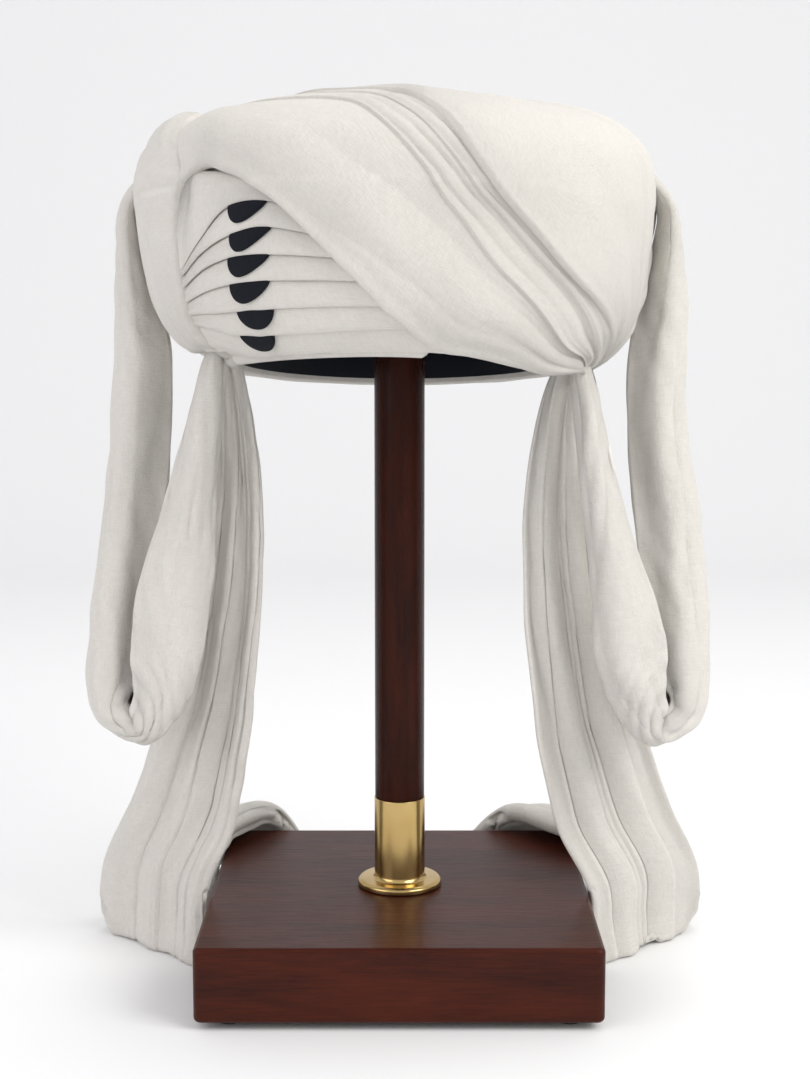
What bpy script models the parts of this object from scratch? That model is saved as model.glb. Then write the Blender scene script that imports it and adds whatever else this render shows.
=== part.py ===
"""A white pagri, a wound and tied turban, on its turned display stand.

Metres, +Z up. The origin is on the floor under the pole, the wearer's face would look along -Y, and +X is to
the right of somebody who faces the pagri. The crown is one closed form, crown(turn, climb): turn goes round it
from the front, climb goes from the rim, 0, to the top, 1. Every wrap, pleat and tab on it is a sheet that keeps
its own distance from that form. The loops and tails are sheets of cloth that hang free of it.
"""

import math

import bmesh
import bpy
import numpy as np

# Stand
BOARD_SIDE = 0.210
BOARD_THICK = 0.0395
BOARD_EDGE = 0.003
FOOT_RADIUS = 0.0075
FOOT_HEIGHT = 0.004
FOOT_INSET = 0.017
POLE_RADIUS = 0.01375
SLEEVE_HEIGHT = 0.0507
SLEEVE_WALL = 0.0012
SLEEVE_PROUD = 0.0004
FLANGE_RADIUS = 0.0235
FLANGE_THICK = 0.004
FLANGE_EDGE = 0.0006
HEAD_RADIUS = 0.046
HEAD_THICK = 0.020
HEAD_DOME = 0.009

# Crown: the wound body under the wraps
CROWN_WIDTH = 0.268
CROWN_DEPTH = 0.298
CROWN_HEIGHT = 0.133
CROWN_INSET = 0.0044
HEM_INSET = 0.0012
RIM_HEIGHT = 0.335
RIM_TILT = 0.013
RIM_SAG = 0.008
SAG_TURN = 46.0
SAG_SPREAD = 26.0
RIM_SHARE = 0.755
TAPER = 0.08
BELLY_SHARE = 0.634
LOWER_POWER = 5.8
UPPER_POWER = 3.2
MOUND_HEIGHT = 0.0085
MOUND_SPREAD = 0.047
MOUND_RIGHT = -0.019
HEM_DROP = 0.002
HEM_MIDDLE = 0.6

# Lining: the dark cap inside
OPENING_WIDTH = 0.174
OPENING_DEPTH = 0.192
LINING_WALL = 0.002
LINING_LIFT = 0.002
LINING_DEPTH = 0.108
LINING_POWER = 3.2

# Cloth
CLOTH = 0.0022
LAYER_GAP = 0.0006
REST_GAP = 0.0003
TUCK_STEP = 0.0014
PLEAT_TUCK = 0.0018
PLEAT_RISE = 0.0028
BAND_RISE = 0.0046
TAB_THICK = 0.0012
TAB_WIDTH = 0.020
TAB_DEPTH = 0.0095
TAB_LIFT = 0.0010
LOOP_WALL = 0.0026
TAIL_WALL = 0.0036
TRAIL_WALL = 0.0100
BOARD_CLEARANCE = 0.0056

# Hanging cloth: where it is tied in, and how far it falls
TIE_TURN = 72.0
LOOP_FALL = 0.311
LOOP_SPREAD = 0.1605
LOOP_REACH = 0.031
LOOP_GIRTH = 0.026
TAIL_WIDTH = 0.063
TRAIL_SPREAD = 0.065

TURNS = 32
TOP_ROWS = (0.93, 0.84, 0.75, 0.66, 0.56, 0.46)
SIDE_ROWS = (0.46, 0.36, 0.27, 0.18, 0.10, 0.04, 0.0)
DOME_ROWS = (0.0, 0.20, 0.38, 0.56, 0.74, 0.90)
SIDE_SHARE = 0.56
CROWN_BLOCKS = 8
TURNED_SIDES = 24
WRAP_STATIONS = 21

# Lines on the crown, as seen from above with the rim at radius 1: right, then back. One row for each station
# from the left of the crown to the tie at the right.
EDGE_LINE = ((-0.425, -0.427), (-0.353, -0.501), (-0.289, -0.591), (-0.217, -0.713), (-0.137, -0.807),
             (-0.008, -0.903), (0.214, -0.955), (0.605, -0.780), (0.856, -0.491))
LOW_TUCK = ((-0.350, -0.200), (-0.235, -0.320), (-0.105, -0.444), (-0.034, -0.551), (0.041, -0.608),
            (0.132, -0.676), (0.310, -0.745), (0.610, -0.685), (0.862, -0.470))
MID_TUCK = ((-0.320, -0.100), (-0.195, -0.255), (-0.062, -0.405), (0.005, -0.515), (0.100, -0.588),
            (0.213, -0.639), (0.400, -0.662), (0.665, -0.580), (0.875, -0.420))
HIGH_TUCK = ((-0.290, 0.000), (-0.150, -0.180), (-0.020, -0.350), (0.048, -0.478), (0.165, -0.575),
             (0.305, -0.612), (0.500, -0.600), (0.725, -0.480), (0.898, -0.340))
BACK_LINE = ((-0.400, 0.300), (-0.300, 0.520), (-0.080, 0.720), (0.180, 0.810), (0.420, 0.780),
             (0.640, 0.670), (0.815, 0.480), (0.925, 0.230), (0.965, -0.080))
BAND_INNER = ((-0.800, -0.545), (-0.745, -0.504), (-0.672, -0.480), (-0.614, -0.448), (-0.545, -0.420),
              (-0.490, -0.408), (-0.446, -0.400), (-0.418, -0.310), (-0.395, -0.150), (-0.425, 0.100),
              (-0.490, 0.360))
BAND_OUTER = ((-0.885, -0.400), (-0.900, -0.300), (-0.880, -0.210), (-0.830, -0.160), (-0.755, -0.130),
              (-0.680, -0.130), (-0.610, -0.150), (-0.550, -0.100), (-0.530, 0.030), (-0.560, 0.220),
              (-0.630, 0.440))

# Pleat creases from the top one down: turn and climb at the gather, climb half way to the tabs and at each side of
# them, turn and climb where the crease goes under the front wrap.
PLEAT_COLUMNS = ("gather_turn", "gather", "half_way", "tab_left", "tab_right", "under_turn", "under")
PLEATS = (
    (-46.0, 0.405, 0.402, 0.392, 0.368, -22.0, 0.335),
    (-53.4, 0.222, 0.275, 0.327, 0.335, -18.5, 0.305),
    (-53.5, 0.203, 0.243, 0.272, 0.284, -14.0, 0.258),
    (-53.9, 0.180, 0.211, 0.228, 0.230, -9.5, 0.216),
    (-54.5, 0.150, 0.168, 0.177, 0.179, -5.0, 0.172),
    (-54.7, 0.122, 0.122, 0.123, 0.124, 0.5, 0.125),
    (-54.3, 0.096, 0.076, 0.067, 0.066, 5.0, 0.077),
    (-53.6, 0.030, 0.002, 0.001, 0.001, 10.5, 0.001),
)
CREASE_TURNS = (-45.0, -36.5, -27.0)
PLEAT_ROWS = ((0.05, 0.0), (0.38, 0.62), (0.78, 1.0), (1.0, 0.78))

# Tabs from the top one down: middle turn, width and lean of the half moon.
TABS = ((-30.9, 1.0, 0.45), (-30.5, 1.05, 0.50), (-31.6, 1.1, 0.45), (-32.8, 1.05, 0.30), (-32.7, 1.0, 0.0),
        (-35.1, 1.0, 0.0))

# One loop, from its top on the crown round the bottom to the tie. Out and fall are shares of the loop's spread and
# fall, back is a share of the crown's half depth, reach and girth are the size of the folded cloth.
LOOP_COLUMNS = ("out", "fall", "back", "reach", "girth")
LOOP = (
    (0.745, -0.015, 0.10, 0.20, 0.80),
    (0.875, 0.100, 0.07, 0.36, 1.00),
    (0.930, 0.240, 0.04, 0.76, 1.20),
    (0.952, 0.365, 0.00, 0.95, 1.10),
    (0.972, 0.500, -0.04, 1.02, 1.00),
    (1.005, 0.640, -0.10, 1.08, 1.00),
    (1.028, 0.780, -0.17, 0.95, 1.00),
    (1.015, 0.900, -0.23, 0.82, 0.95),
    (0.940, 0.972, -0.27, 0.70, 0.90),
    (0.800, 1.000, -0.30, 0.64, 0.90),
    (0.700, 0.955, -0.31, 0.80, 0.90),
    (0.668, 0.860, -0.32, 0.98, 0.95),
    (0.640, 0.750, -0.33, 1.02, 0.95),
    (0.616, 0.620, -0.34, 0.98, 0.90),
    (0.592, 0.490, -0.36, 0.68, 0.75),
    (0.530, 0.400, -0.35, 0.32, 0.42),
)

# One tail, from the tie down to the floor. Height is a share of the tie's height, to_board how far the inner edge
# has gone from the tie to the board's side, swell and width shares of the tail's width, drift how far its inner
# and outer edges have gone back to where they stand on the floor.
TAIL_COLUMNS = ("height", "to_board", "swell", "width", "drift")
TAIL = (
    (1.000, 0.00, 0.10, 0.24, 0.00),
    (0.940, 0.00, 0.20, 0.30, 0.03),
    (0.850, 0.00, 0.27, 0.40, 0.08),
    (0.740, 0.00, 0.30, 0.52, 0.15),
    (0.610, 0.00, 0.28, 0.64, 0.25),
    (0.480, 0.08, 0.25, 0.78, 0.38),
    (0.360, 0.28, 0.23, 0.94, 0.55),
    (0.240, 0.58, 0.18, 1.03, 0.74),
    (0.140, 0.84, 0.10, 1.04, 0.90),
    (0.055, 0.97, 0.03, 1.02, 1.00),
)
# The tail's end beyond the floor line: the inner and outer edge, each as right of the board's side (share of the
# trail's spread), back of its middle (share of half its side) and height (share of the board's top).
TRAIL_COLUMNS = ("in_out", "in_back", "in_up", "out_out", "out_back", "out_up", "wall")
TRAIL = (
    (0.08, -0.16, 0.03, 1.06, 0.43, 0.03, 0.0),
    (0.07, 0.10, 0.05, 1.02, 0.56, 0.06, 0.1),
    (0.10, 0.42, 0.40, 0.90, 0.70, 0.18, 0.4),
    (0.02, 0.72, 1.20, 0.64, 0.94, 0.55, 0.8),
    (-0.30, 0.92, 1.48, 0.26, 1.22, 0.95, 1.0),
    (-0.54, 1.10, 1.12, -0.14, 1.38, 0.85, 0.9),
    (-0.66, 1.18, 0.52, -0.46, 1.38, 0.36, 0.7),
)
LEFT, RIGHT = -1, 1
TRAIL_INWARD = {LEFT: 1.0, RIGHT: 1.45}
TAIL_SWELL = {LEFT: 1.0, RIGHT: 1.3}
LOOP_SKEW = {LEFT: -0.035, RIGHT: 0.035}
TAIL_FOLDS = 3

BOARD_TOP = FOOT_HEIGHT + BOARD_THICK
LINING_TOP = RIM_HEIGHT + LINING_DEPTH
HEAD_TOP = LINING_TOP - REST_GAP
HEAD_BASE = HEAD_TOP - HEAD_THICK

COLOURS = {
    "wood": ((0.085, 0.026, 0.016), 0.32, 0.0),
    "dark_wood": ((0.045, 0.014, 0.009), 0.30, 0.0),
    "brass": ((0.72, 0.52, 0.22), 0.28, 1.0),
    "rubber": ((0.02, 0.02, 0.02), 0.7, 0.0),
    "plain_wood": ((0.40, 0.27, 0.16), 0.6, 0.0),
    "white_cloth": ((0.86, 0.84, 0.79), 0.85, 0.0),
    "dark_cloth": ((0.010, 0.012, 0.020), 0.9, 0.0),
}


def material(name):
    """The named Principled material, made once."""
    found = bpy.data.materials.get(name)
    if found:
        return found
    colour, roughness, metallic = COLOURS[name]
    made = bpy.data.materials.new(name)
    made.use_nodes = True
    shader = made.node_tree.nodes["Principled BSDF"]
    shader.inputs["Base Color"].default_value = (*colour, 1.0)
    shader.inputs["Roughness"].default_value = roughness
    shader.inputs["Metallic"].default_value = metallic
    made.diffuse_color = (*colour, 1.0)
    return made


def add_object(name, mesh, slot):
    """Links the mesh as one named sub-part with its material."""
    made = bpy.data.objects.new(name, mesh)
    mesh.materials.append(material(slot))
    bpy.context.scene.collection.objects.link(made)
    return made


def mesh_object(name, points, faces, slot, smooth_degrees=40.0):
    """A sub-part from points and faces, with its faces turned outwards."""
    mesh = bpy.data.meshes.new(name)
    mesh.from_pydata([tuple(p) for p in points], [], faces)
    shape = bmesh.new()
    shape.from_mesh(mesh)
    bmesh.ops.recalc_face_normals(shape, faces=shape.faces)
    shape.to_mesh(mesh)
    shape.free()
    mesh.shade_smooth()
    mesh.set_sharp_from_angle(angle=math.radians(smooth_degrees))
    return add_object(name, mesh, slot)


def smooth(value):
    """0 to 1 with a soft start and end."""
    value = np.clip(value, 0.0, 1.0)
    return value * value * (3 - 2 * value)


def through(rows, places):
    """The smooth curve through the rows, read at places from 0 to 1: a Catmull-Rom spline by row number."""
    rows = np.asarray(rows, float)
    rows = rows.reshape(len(rows), -1)
    padded = np.vstack([2 * rows[0] - rows[1], rows, 2 * rows[-1] - rows[-2]])
    along = np.clip(np.asarray(places, float), 0, 1) * (len(rows) - 1)
    first = np.minimum(along.astype(int), len(rows) - 2)
    u = (along - first)[:, None]
    a, b, c, d = (padded[first + k] for k in range(4))
    return 0.5 * (2 * b + (c - a) * u + (2 * a - 5 * b + 4 * c - d) * u**2 + (3 * b - a - 3 * c + d) * u**3)


def table(rows, columns, places):
    """The rows of a table read at places, as a dict of its named columns."""
    return dict(zip(columns, through(rows, places).T, strict=True))


def crown_profile():
    """Climb, height share and radius share down the crown's side: a curve in to the rim below the belly, and a
    superellipse over the top above it, both measured along the cloth."""
    steps = np.linspace(0, 1, 200)
    low_height = BELLY_SHARE * steps
    low_radius = 1 - TAPER * (1 - steps) - (1 - RIM_SHARE - TAPER) * (1 - steps) ** LOWER_POWER
    angle = steps[1:] * math.pi / 2
    top_height = BELLY_SHARE + (1 - BELLY_SHARE) * np.sin(angle) ** (2 / UPPER_POWER)
    height = np.append(low_height, top_height)
    radius = np.append(low_radius, np.cos(angle).clip(0) ** (2 / UPPER_POWER))
    radius[-1] = 0.0
    run = np.hypot(np.diff(height) * CROWN_HEIGHT, np.diff(radius) * CROWN_WIDTH / 2)
    climb = np.append(0, np.cumsum(run))
    return climb / climb[-1], height, radius


CLIMB, HEIGHT_SHARE, RADIUS_SHARE = crown_profile()


def rim_height(turn):
    """Height of the rim: it is tilted back, and sags where the wrap is drawn down to the right tie."""
    off_sag = (turn - math.radians(SAG_TURN) + math.pi) % (2 * math.pi) - math.pi
    return RIM_HEIGHT + RIM_TILT * np.cos(turn) - RIM_SAG * np.exp(-((off_sag / math.radians(SAG_SPREAD)) ** 2))


def crown_point(turn, climb):
    """Point of the bare crown at a turn in radians and a climb."""
    height, radius = np.interp(climb, CLIMB, HEIGHT_SHARE), np.interp(climb, CLIMB, RADIUS_SHARE)
    rim = rim_height(turn)
    right, back = CROWN_WIDTH / 2 * radius * np.sin(turn), -CROWN_DEPTH / 2 * radius * np.cos(turn)
    from_mound = ((right - MOUND_RIGHT) ** 2 + (0.8 * back) ** 2) / (2 * MOUND_SPREAD**2)
    over_belly = ((height - BELLY_SHARE) / (1 - BELLY_SHARE)).clip(0, 1)
    up = rim + height * (RIM_HEIGHT + CROWN_HEIGHT - rim) + MOUND_HEIGHT * over_belly * np.exp(-from_mound)
    return np.stack([right, back, up], axis=-1)


def crown(turn, climb, proud=0.0):
    """Point at a distance proud of the bare crown, along its normal."""
    turn, climb, proud = np.broadcast_arrays(turn, climb, proud)
    inside = np.clip(climb, 0.01, 0.985)
    step = 0.008
    round_it = crown_point(turn + step, inside) - crown_point(turn - step, inside)
    up_it = crown_point(turn, inside + step) - crown_point(turn, inside - step)
    normal = np.cross(round_it, up_it)
    normal /= np.linalg.norm(normal, axis=-1, keepdims=True)
    return crown_point(turn, climb) + normal * proud[..., None]


def from_above(places):
    """Turn and climb of points given right and back on the map of the crown seen from above."""
    right, back = places[..., 0], places[..., 1]
    return np.arctan2(right, -back), 1 - np.hypot(right, back).clip(0, 1)


def outside_crown(points, margin):
    """The points, with those closer to the crown's side than margin moved out to it."""
    points = points.copy()
    half = np.array([CROWN_WIDTH, CROWN_DEPTH]) / 2
    turn = np.arctan2(points[..., 0] / half[0], -points[..., 1] / half[1])
    rim = rim_height(turn)
    height = (points[..., 2] - rim) / (RIM_HEIGHT + CROWN_HEIGHT - rim)
    wanted = np.interp(height, HEIGHT_SHARE, RADIUS_SHARE) + margin / half.mean()
    radius = np.linalg.norm(points[..., :2] / half, axis=-1)
    inside = (height > -HEM_DROP / CROWN_HEIGHT) & (height < 1) & (radius < wanted)
    points[..., :2] *= np.where(inside, wanted / radius.clip(1e-6), 1.0)[..., None]
    return points


def outside_board(points, half_wall):
    """The points of a sheet's middle, with those too near to the board moved straight out of it, round its edges
    too, and kept off the floor."""
    points, half_wall = points.copy(), np.broadcast_to(half_wall, points.shape[:-1])
    margin = half_wall + BOARD_CLEARANCE
    half = BOARD_SIDE / 2
    side = np.sign(points[..., 0])
    past = np.stack([side * points[..., 0] - half, points[..., 1] - half, points[..., 2] - BOARD_TOP], axis=-1)
    deep = past.max(axis=-1, keepdims=True)
    away = np.where(deep < 0, (past == deep) * 1.0, past.clip(0))
    away /= np.linalg.norm(away, axis=-1, keepdims=True).clip(1e-9)
    distance = np.where(deep[..., 0] < 0, deep[..., 0], np.linalg.norm(past.clip(0), axis=-1))
    move = (margin - distance).clip(0)[..., None] * away
    move[..., 0] *= side
    points += move
    points[..., 2] = np.maximum(points[..., 2], half_wall + REST_GAP)
    return points


def ring_solid(name, rings, top, bottom, slot):
    """A closed body from a stack of rings, with a point at each end."""
    count = rings.shape[1]
    points = [top, *rings.reshape(-1, 3), bottom]
    faces = [(0, 1 + k, 1 + (k + 1) % count) for k in range(count)]
    for row in range(len(rings) - 1):
        start = 1 + row * count
        for k in range(count):
            after = (k + 1) % count
            faces.append((start + k, start + count + k, start + count + after, start + after))
    last, start = len(points) - 1, 1 + (len(rings) - 1) * count
    faces += [(last, start + (k + 1) % count, start + k) for k in range(count)]
    return mesh_object(name, points, faces, slot)


def shell(name, inner, outer, slot):
    """A closed sheet between two grids of points of the same size."""
    rows, columns = inner.shape[:2]
    points = np.concatenate([inner.reshape(-1, 3), outer.reshape(-1, 3)])
    number = np.arange(rows * columns).reshape(rows, columns)
    lift = rows * columns
    faces = []
    for i in range(rows - 1):
        for j in range(columns - 1):
            a, b, c, d = number[i, j], number[i, j + 1], number[i + 1, j + 1], number[i + 1, j]
            faces += [(a, b, c, d), (lift + a, lift + d, lift + c, lift + b)]
    rim = [*number[0, :], *number[1:, -1], *number[-1, -2::-1], *number[-2:0:-1, 0]]
    faces += [(a, a + lift, b + lift, b) for a, b in zip(rim, rim[1:] + rim[:1], strict=True)]
    return mesh_object(name, points, [tuple(int(k) for k in face) for face in faces], slot)


def sheet(name, middle, wall, slot):
    """A closed sheet of cloth with its wall half to each side of the middle grid."""
    across, along = np.gradient(middle, axis=1), np.gradient(middle, axis=0)
    normal = np.cross(across, along)
    normal /= np.linalg.norm(normal, axis=-1, keepdims=True)
    half = np.broadcast_to(np.asarray(wall, float), middle.shape[:2])[..., None] / 2
    return shell(name, middle - normal * half, middle + normal * half, slot)


def turned(name, profile, slot, sides=TURNED_SIDES):
    """A turned body from its profile of radius and height, top to bottom on the outside; both ends on the axis or
    a closed loop round a bore."""
    angle = np.arange(sides) * 2 * math.pi / sides
    rings = np.array([[(r * math.cos(a), r * math.sin(a), z) for a in angle] for r, z in profile if r > 0])
    if profile[0][0] == 0:
        return ring_solid(name, rings, (0, 0, profile[0][1]), (0, 0, profile[-1][1]), slot)
    points = rings.reshape(-1, 3)
    faces = []
    for row in range(len(rings)):
        start, following = row * sides, (row + 1) % len(rings) * sides
        for k in range(sides):
            after = (k + 1) % sides
            faces.append((start + k, following + k, following + after, start + after))
    return mesh_object(name, points, faces, slot)


def build_board():
    """The square wooden board with its rounded edges."""
    shape = bmesh.new()
    bmesh.ops.create_cube(shape, size=1.0)
    bmesh.ops.scale(shape, verts=shape.verts, vec=(BOARD_SIDE, BOARD_SIDE, BOARD_THICK))
    bmesh.ops.translate(shape, verts=shape.verts, vec=(0, 0, FOOT_HEIGHT + BOARD_THICK / 2))
    bmesh.ops.bevel(shape, geom=shape.edges, offset=BOARD_EDGE, segments=3, profile=0.5, affect="EDGES")
    mesh = bpy.data.meshes.new("base_board")
    shape.to_mesh(mesh)
    shape.free()
    mesh.shade_smooth()
    mesh.set_sharp_from_angle(angle=math.radians(35))
    add_object("base_board", mesh, "wood")


def build_feet():
    """Four rubber feet under the board's corners."""
    place = BOARD_SIDE / 2 - FOOT_INSET
    top = FOOT_HEIGHT - REST_GAP
    profile = ((0, top), (FOOT_RADIUS, top), (FOOT_RADIUS, 0.001), (FOOT_RADIUS - 0.001, 0), (0, 0))
    for name, right, back in (("foot_front_left", -1, -1), ("foot_front_right", 1, -1),
                              ("foot_back_left", -1, 1), ("foot_back_right", 1, 1)):
        foot = turned(name, profile, "rubber", sides=12)
        foot.location = (right * place, back * place, 0)


def build_socket():
    """The brass socket: a flange and the sleeve that holds the pole, turned in one."""
    base = BOARD_TOP + REST_GAP
    outer = POLE_RADIUS + SLEEVE_PROUD
    bore = outer - SLEEVE_WALL
    profile = (
        (bore, BOARD_TOP + SLEEVE_HEIGHT), (outer, BOARD_TOP + SLEEVE_HEIGHT), (outer, base + FLANGE_THICK),
        (FLANGE_RADIUS - FLANGE_EDGE, base + FLANGE_THICK), (FLANGE_RADIUS, base + FLANGE_THICK - FLANGE_EDGE),
        (FLANGE_RADIUS, base + FLANGE_EDGE), (FLANGE_RADIUS - FLANGE_EDGE, base), (bore, base),
    )
    turned("brass_socket", profile, "brass")


def build_pole():
    """The dark wooden pole, turned down where it stands in the sleeve."""
    spigot = POLE_RADIUS + SLEEVE_PROUD - SLEEVE_WALL - REST_GAP
    shoulder = BOARD_TOP + SLEEVE_HEIGHT + REST_GAP
    top, foot = HEAD_BASE - REST_GAP, BOARD_TOP + REST_GAP
    profile = ((0, top), (POLE_RADIUS, top), (POLE_RADIUS, shoulder), (spigot, shoulder), (spigot, foot), (0, foot))
    turned("pole", profile, "dark_wood")


def build_head_block():
    """The plain block at the pole's top that the pagri sits on, hidden inside it."""
    edge = HEAD_TOP - HEAD_DOME
    dome = [(HEAD_RADIUS * share, HEAD_TOP - HEAD_DOME * share**2) for share in (0.35, 0.65, 0.88)]
    profile = ((0, HEAD_TOP), *dome, (HEAD_RADIUS, edge), (HEAD_RADIUS, HEAD_BASE), (0, HEAD_BASE))
    turned("head_block", profile, "plain_wood")


def lining_ring(turn, share, proud):
    """One ring of the cap inside, at a share of its height from its edge to its top: an upright ellipse that rounds
    over into a flat top."""
    angle = share * math.pi / 2
    radius, height = math.cos(angle) ** (2 / LINING_POWER), math.sin(angle) ** (2 / LINING_POWER)
    base = rim_height(turn) + LINING_LIFT
    return np.stack([
        (OPENING_WIDTH / 2 + proud) * radius * np.sin(turn),
        -(OPENING_DEPTH / 2 + proud) * radius * np.cos(turn),
        base + height * (LINING_TOP + proud - base),
    ], axis=-1)


def build_lining(turn):
    """The dark cap that lines the crown, open below."""
    inside = [lining_ring(turn, share, 0.0) for share in DOME_ROWS]
    outside = [lining_ring(turn, share, LINING_WALL) for share in reversed(DOME_ROWS)]
    rings = np.array([*outside, *inside])
    ring_solid("lining", rings, (0, 0, LINING_TOP + LINING_WALL), (0, 0, LINING_TOP), "dark_cloth")


def crown_rows(turn, climbs):
    """Rings of the wound body's outside: it draws in from the hem to leave room for the wraps on it."""
    return [crown(turn, climb, -HEM_INSET - (CROWN_INSET - HEM_INSET) * smooth(climb / 0.2)) for climb in climbs]


def build_crown_side():
    """The sides of the wound body, hollow for the lining and with a rolled hem, as a ring of blocks that stand side
    by side."""
    cavity = LINING_WALL + LAYER_GAP
    step = 2 * math.pi / CROWN_BLOCKS
    apart = REST_GAP / OPENING_WIDTH
    for number in range(CROWN_BLOCKS):
        turn = np.linspace(number * step + apart, (number + 1) * step - apart, TURNS // CROWN_BLOCKS + 1)
        outside = crown_rows(turn, SIDE_ROWS)
        low = lining_ring(turn, 0.0, cavity)
        low[:, 2] = rim_height(turn)
        hem = outside[-1] * HEM_MIDDLE + low * (1 - HEM_MIDDLE)
        hem[:, 2] = rim_height(turn) - HEM_DROP
        inside = [lining_ring(turn, share, cavity) for share in np.linspace(SIDE_SHARE, 0, len(SIDE_ROWS))]
        shell(f"crown_side_{number + 1}", np.array([*inside, low]), np.array([*outside, hem]), "white_cloth")


def build_crown_top(turn):
    """The top of the wound body, a thick dome that lies on its sides."""
    cavity = LINING_WALL + LAYER_GAP
    outside = crown_rows(turn, TOP_ROWS)
    inside = [lining_ring(turn, share, cavity) for share in DOME_ROWS if share >= SIDE_SHARE]
    for seat in (outside[-1], inside[0]):
        seat[:, 2] += REST_GAP
    top = crown_point(np.zeros(1), np.ones(1))[0] - (0, 0, CROWN_INSET)
    ring_solid("crown_top", np.array([*outside, *inside]), top, (0, 0, LINING_TOP + cavity), "white_cloth")


def crease(row, places):
    """Turn and climb along one pleat crease, from the gather to where it goes under the front wrap."""
    turns = (row["gather_turn"], *CREASE_TURNS, row["under_turn"])
    climbs = [row[key] for key in ("gather", "half_way", "tab_left", "tab_right", "under")]
    line = through(list(zip(turns, climbs, strict=True)), places)
    return np.radians(line[:, 0]), line[:, 1].clip(0)


def pleat_fullness(places):
    """How full the pleats stand, from flat rolls at the gather to their full rise."""
    return 0.45 + 0.55 * smooth(places / 0.35)


def pleat_grid(columns):
    """Turn, climb and rise of the pleated panel: in each pleat the cloth comes out from under the one above, swells
    and turns in at its own lower edge."""
    places = np.linspace(0, 1, columns)
    lines = [crease(dict(zip(PLEAT_COLUMNS, row, strict=True)), places) for row in PLEATS]
    turns, climbs, rises = [], [], []
    for upper, lower in zip(lines, lines[1:], strict=False):
        for down, rise in PLEAT_ROWS:
            turns.append(upper[0] + (lower[0] - upper[0]) * down)
            climbs.append(upper[1] + (lower[1] - upper[1]) * down)
            rises.append(PLEAT_TUCK + PLEAT_RISE * rise * pleat_fullness(places))
    return np.array(turns), np.array(climbs), np.array(rises)


def build_pleats():
    """The front panel, laid in seven overlapping pleats that are gathered at the left."""
    turn, climb, rise = pleat_grid(11)
    shell("pleated_front", crown(turn, climb, LAYER_GAP), crown(turn, climb, LAYER_GAP + rise), "white_cloth")


def build_tabs():
    """Six dark half moons of cloth, each let in under one pleat and lying on the next."""
    side = np.linspace(-1, 1, 9)
    down = np.linspace(0, 1, 3)
    length = CROWN_WIDTH * 0.958
    turn_now = np.linspace(0, 1, 60)
    for number, (middle, width, lean) in enumerate(TABS, start=1):
        upper, lower = (dict(zip(PLEAT_COLUMNS, PLEATS[k], strict=True)) for k in (number, number + 1))
        turn = math.radians(middle) + side * TAB_WIDTH * width / CROWN_WIDTH
        top, low = np.interp(turn, *crease(upper, turn_now)), np.interp(turn, *crease(lower, turn_now))
        moon = (1 - (side * 0.97) ** 2) ** 0.45 * (1 - lean * side)
        start = 0.09 * (top - low)
        climb = top - start - TAB_DEPTH / length * moon * down[:, None]
        share = (top - climb) / (top - low)
        rise = PLEAT_TUCK + PLEAT_RISE * np.interp(share, *zip(*PLEAT_ROWS, strict=True))
        base = LAYER_GAP + rise + TAB_LIFT
        shell(f"tab_{number}", crown(turn, climb, base), crown(turn, climb, base + TAB_THICK), "dark_cloth")


def fan(lines, places, shares):
    """Map points of a fan of cloth: at each place along the lines, each share runs on from line to line."""
    read = np.array([through(line, places) for line in lines])
    whole = np.minimum(np.asarray(shares).astype(int), len(lines) - 2)
    part = (np.asarray(shares) - whole)[:, None, None]
    return read[whole] * (1 - part) + read[whole + 1] * part


def build_front_wrap():
    """The broad cloth that sweeps from the left over the front down to the tie at the right, with two tucks laid
    in it. Its free edge lies over the pleats."""
    shares = np.array([0, 0.15, 0.35, 0.6, 0.8, 0.97, 1.03, 1.5, 1.96, 2.04, 2.5, 3.0])
    places = np.linspace(0, 1, WRAP_STATIONS)
    turn, climb = from_above(fan((EDGE_LINE, LOW_TUCK, MID_TUCK, HIGH_TUCK), places, shares))
    over_pleats = (PLEAT_TUCK + PLEAT_RISE + LAYER_GAP) * (1 - smooth((shares - 0.35) / 0.6))
    tucks = TUCK_STEP * ((shares > 1) * (1 - smooth(shares - 1.03)) + (shares > 2) * (1 - smooth(shares - 2.04)))
    inner = LAYER_GAP + over_pleats[:, None] * np.ones(len(places))
    outer = inner + CLOTH + tucks[:, None] * smooth(places * 6)
    shell("front_wrap", crown(turn, climb, inner), crown(turn, climb, outer), "white_cloth")


def build_side_wrap():
    """The cloth that comes over the top and the right side and is drawn together at the right tie. Its front edge
    lies over the front wrap."""
    shares = np.array([-0.02, 0.03, 0.08, 0.16, 0.25, 0.34, 0.43, 0.52, 0.61, 0.69, 0.77, 0.85, 0.93, 1.0])
    places = np.linspace(0, 1, WRAP_STATIONS)
    near, far = through(HIGH_TUCK, places), through(BACK_LINE, places)
    turn, climb = from_above(near + (far - near) * shares[:, None, None])
    over_front = (CLOTH + LAYER_GAP * 3.5) * (1 - smooth((shares - 0.08) / 0.17))
    inner = LAYER_GAP + over_front[:, None] * np.ones(len(places))
    shell("side_wrap", crown(turn, climb, inner), crown(turn, climb, inner + CLOTH), "white_cloth")


def build_left_band():
    """The folded band from the left tie up over the crown and down its back, in two soft rolls."""
    shares = np.array([0.0, 0.08, 0.25, 0.42, 0.52, 0.75, 0.95, 1.0])
    rolls = np.array([0.7, 0.95, 1.0, 0.6, 0.25, 0.45, 0.2, 0.0])
    places = np.linspace(0, 1, 23)
    turn, climb = from_above(fan((BAND_INNER, BAND_OUTER), places, shares))
    inner = LAYER_GAP * np.ones(turn.shape)
    outer = inner + CLOTH + BAND_RISE * rolls[:, None] * (1 - 0.4 * smooth((places - 0.7) / 0.3))
    shell("left_band", crown(turn, climb, inner), crown(turn, climb, outer), "white_cloth")


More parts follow.
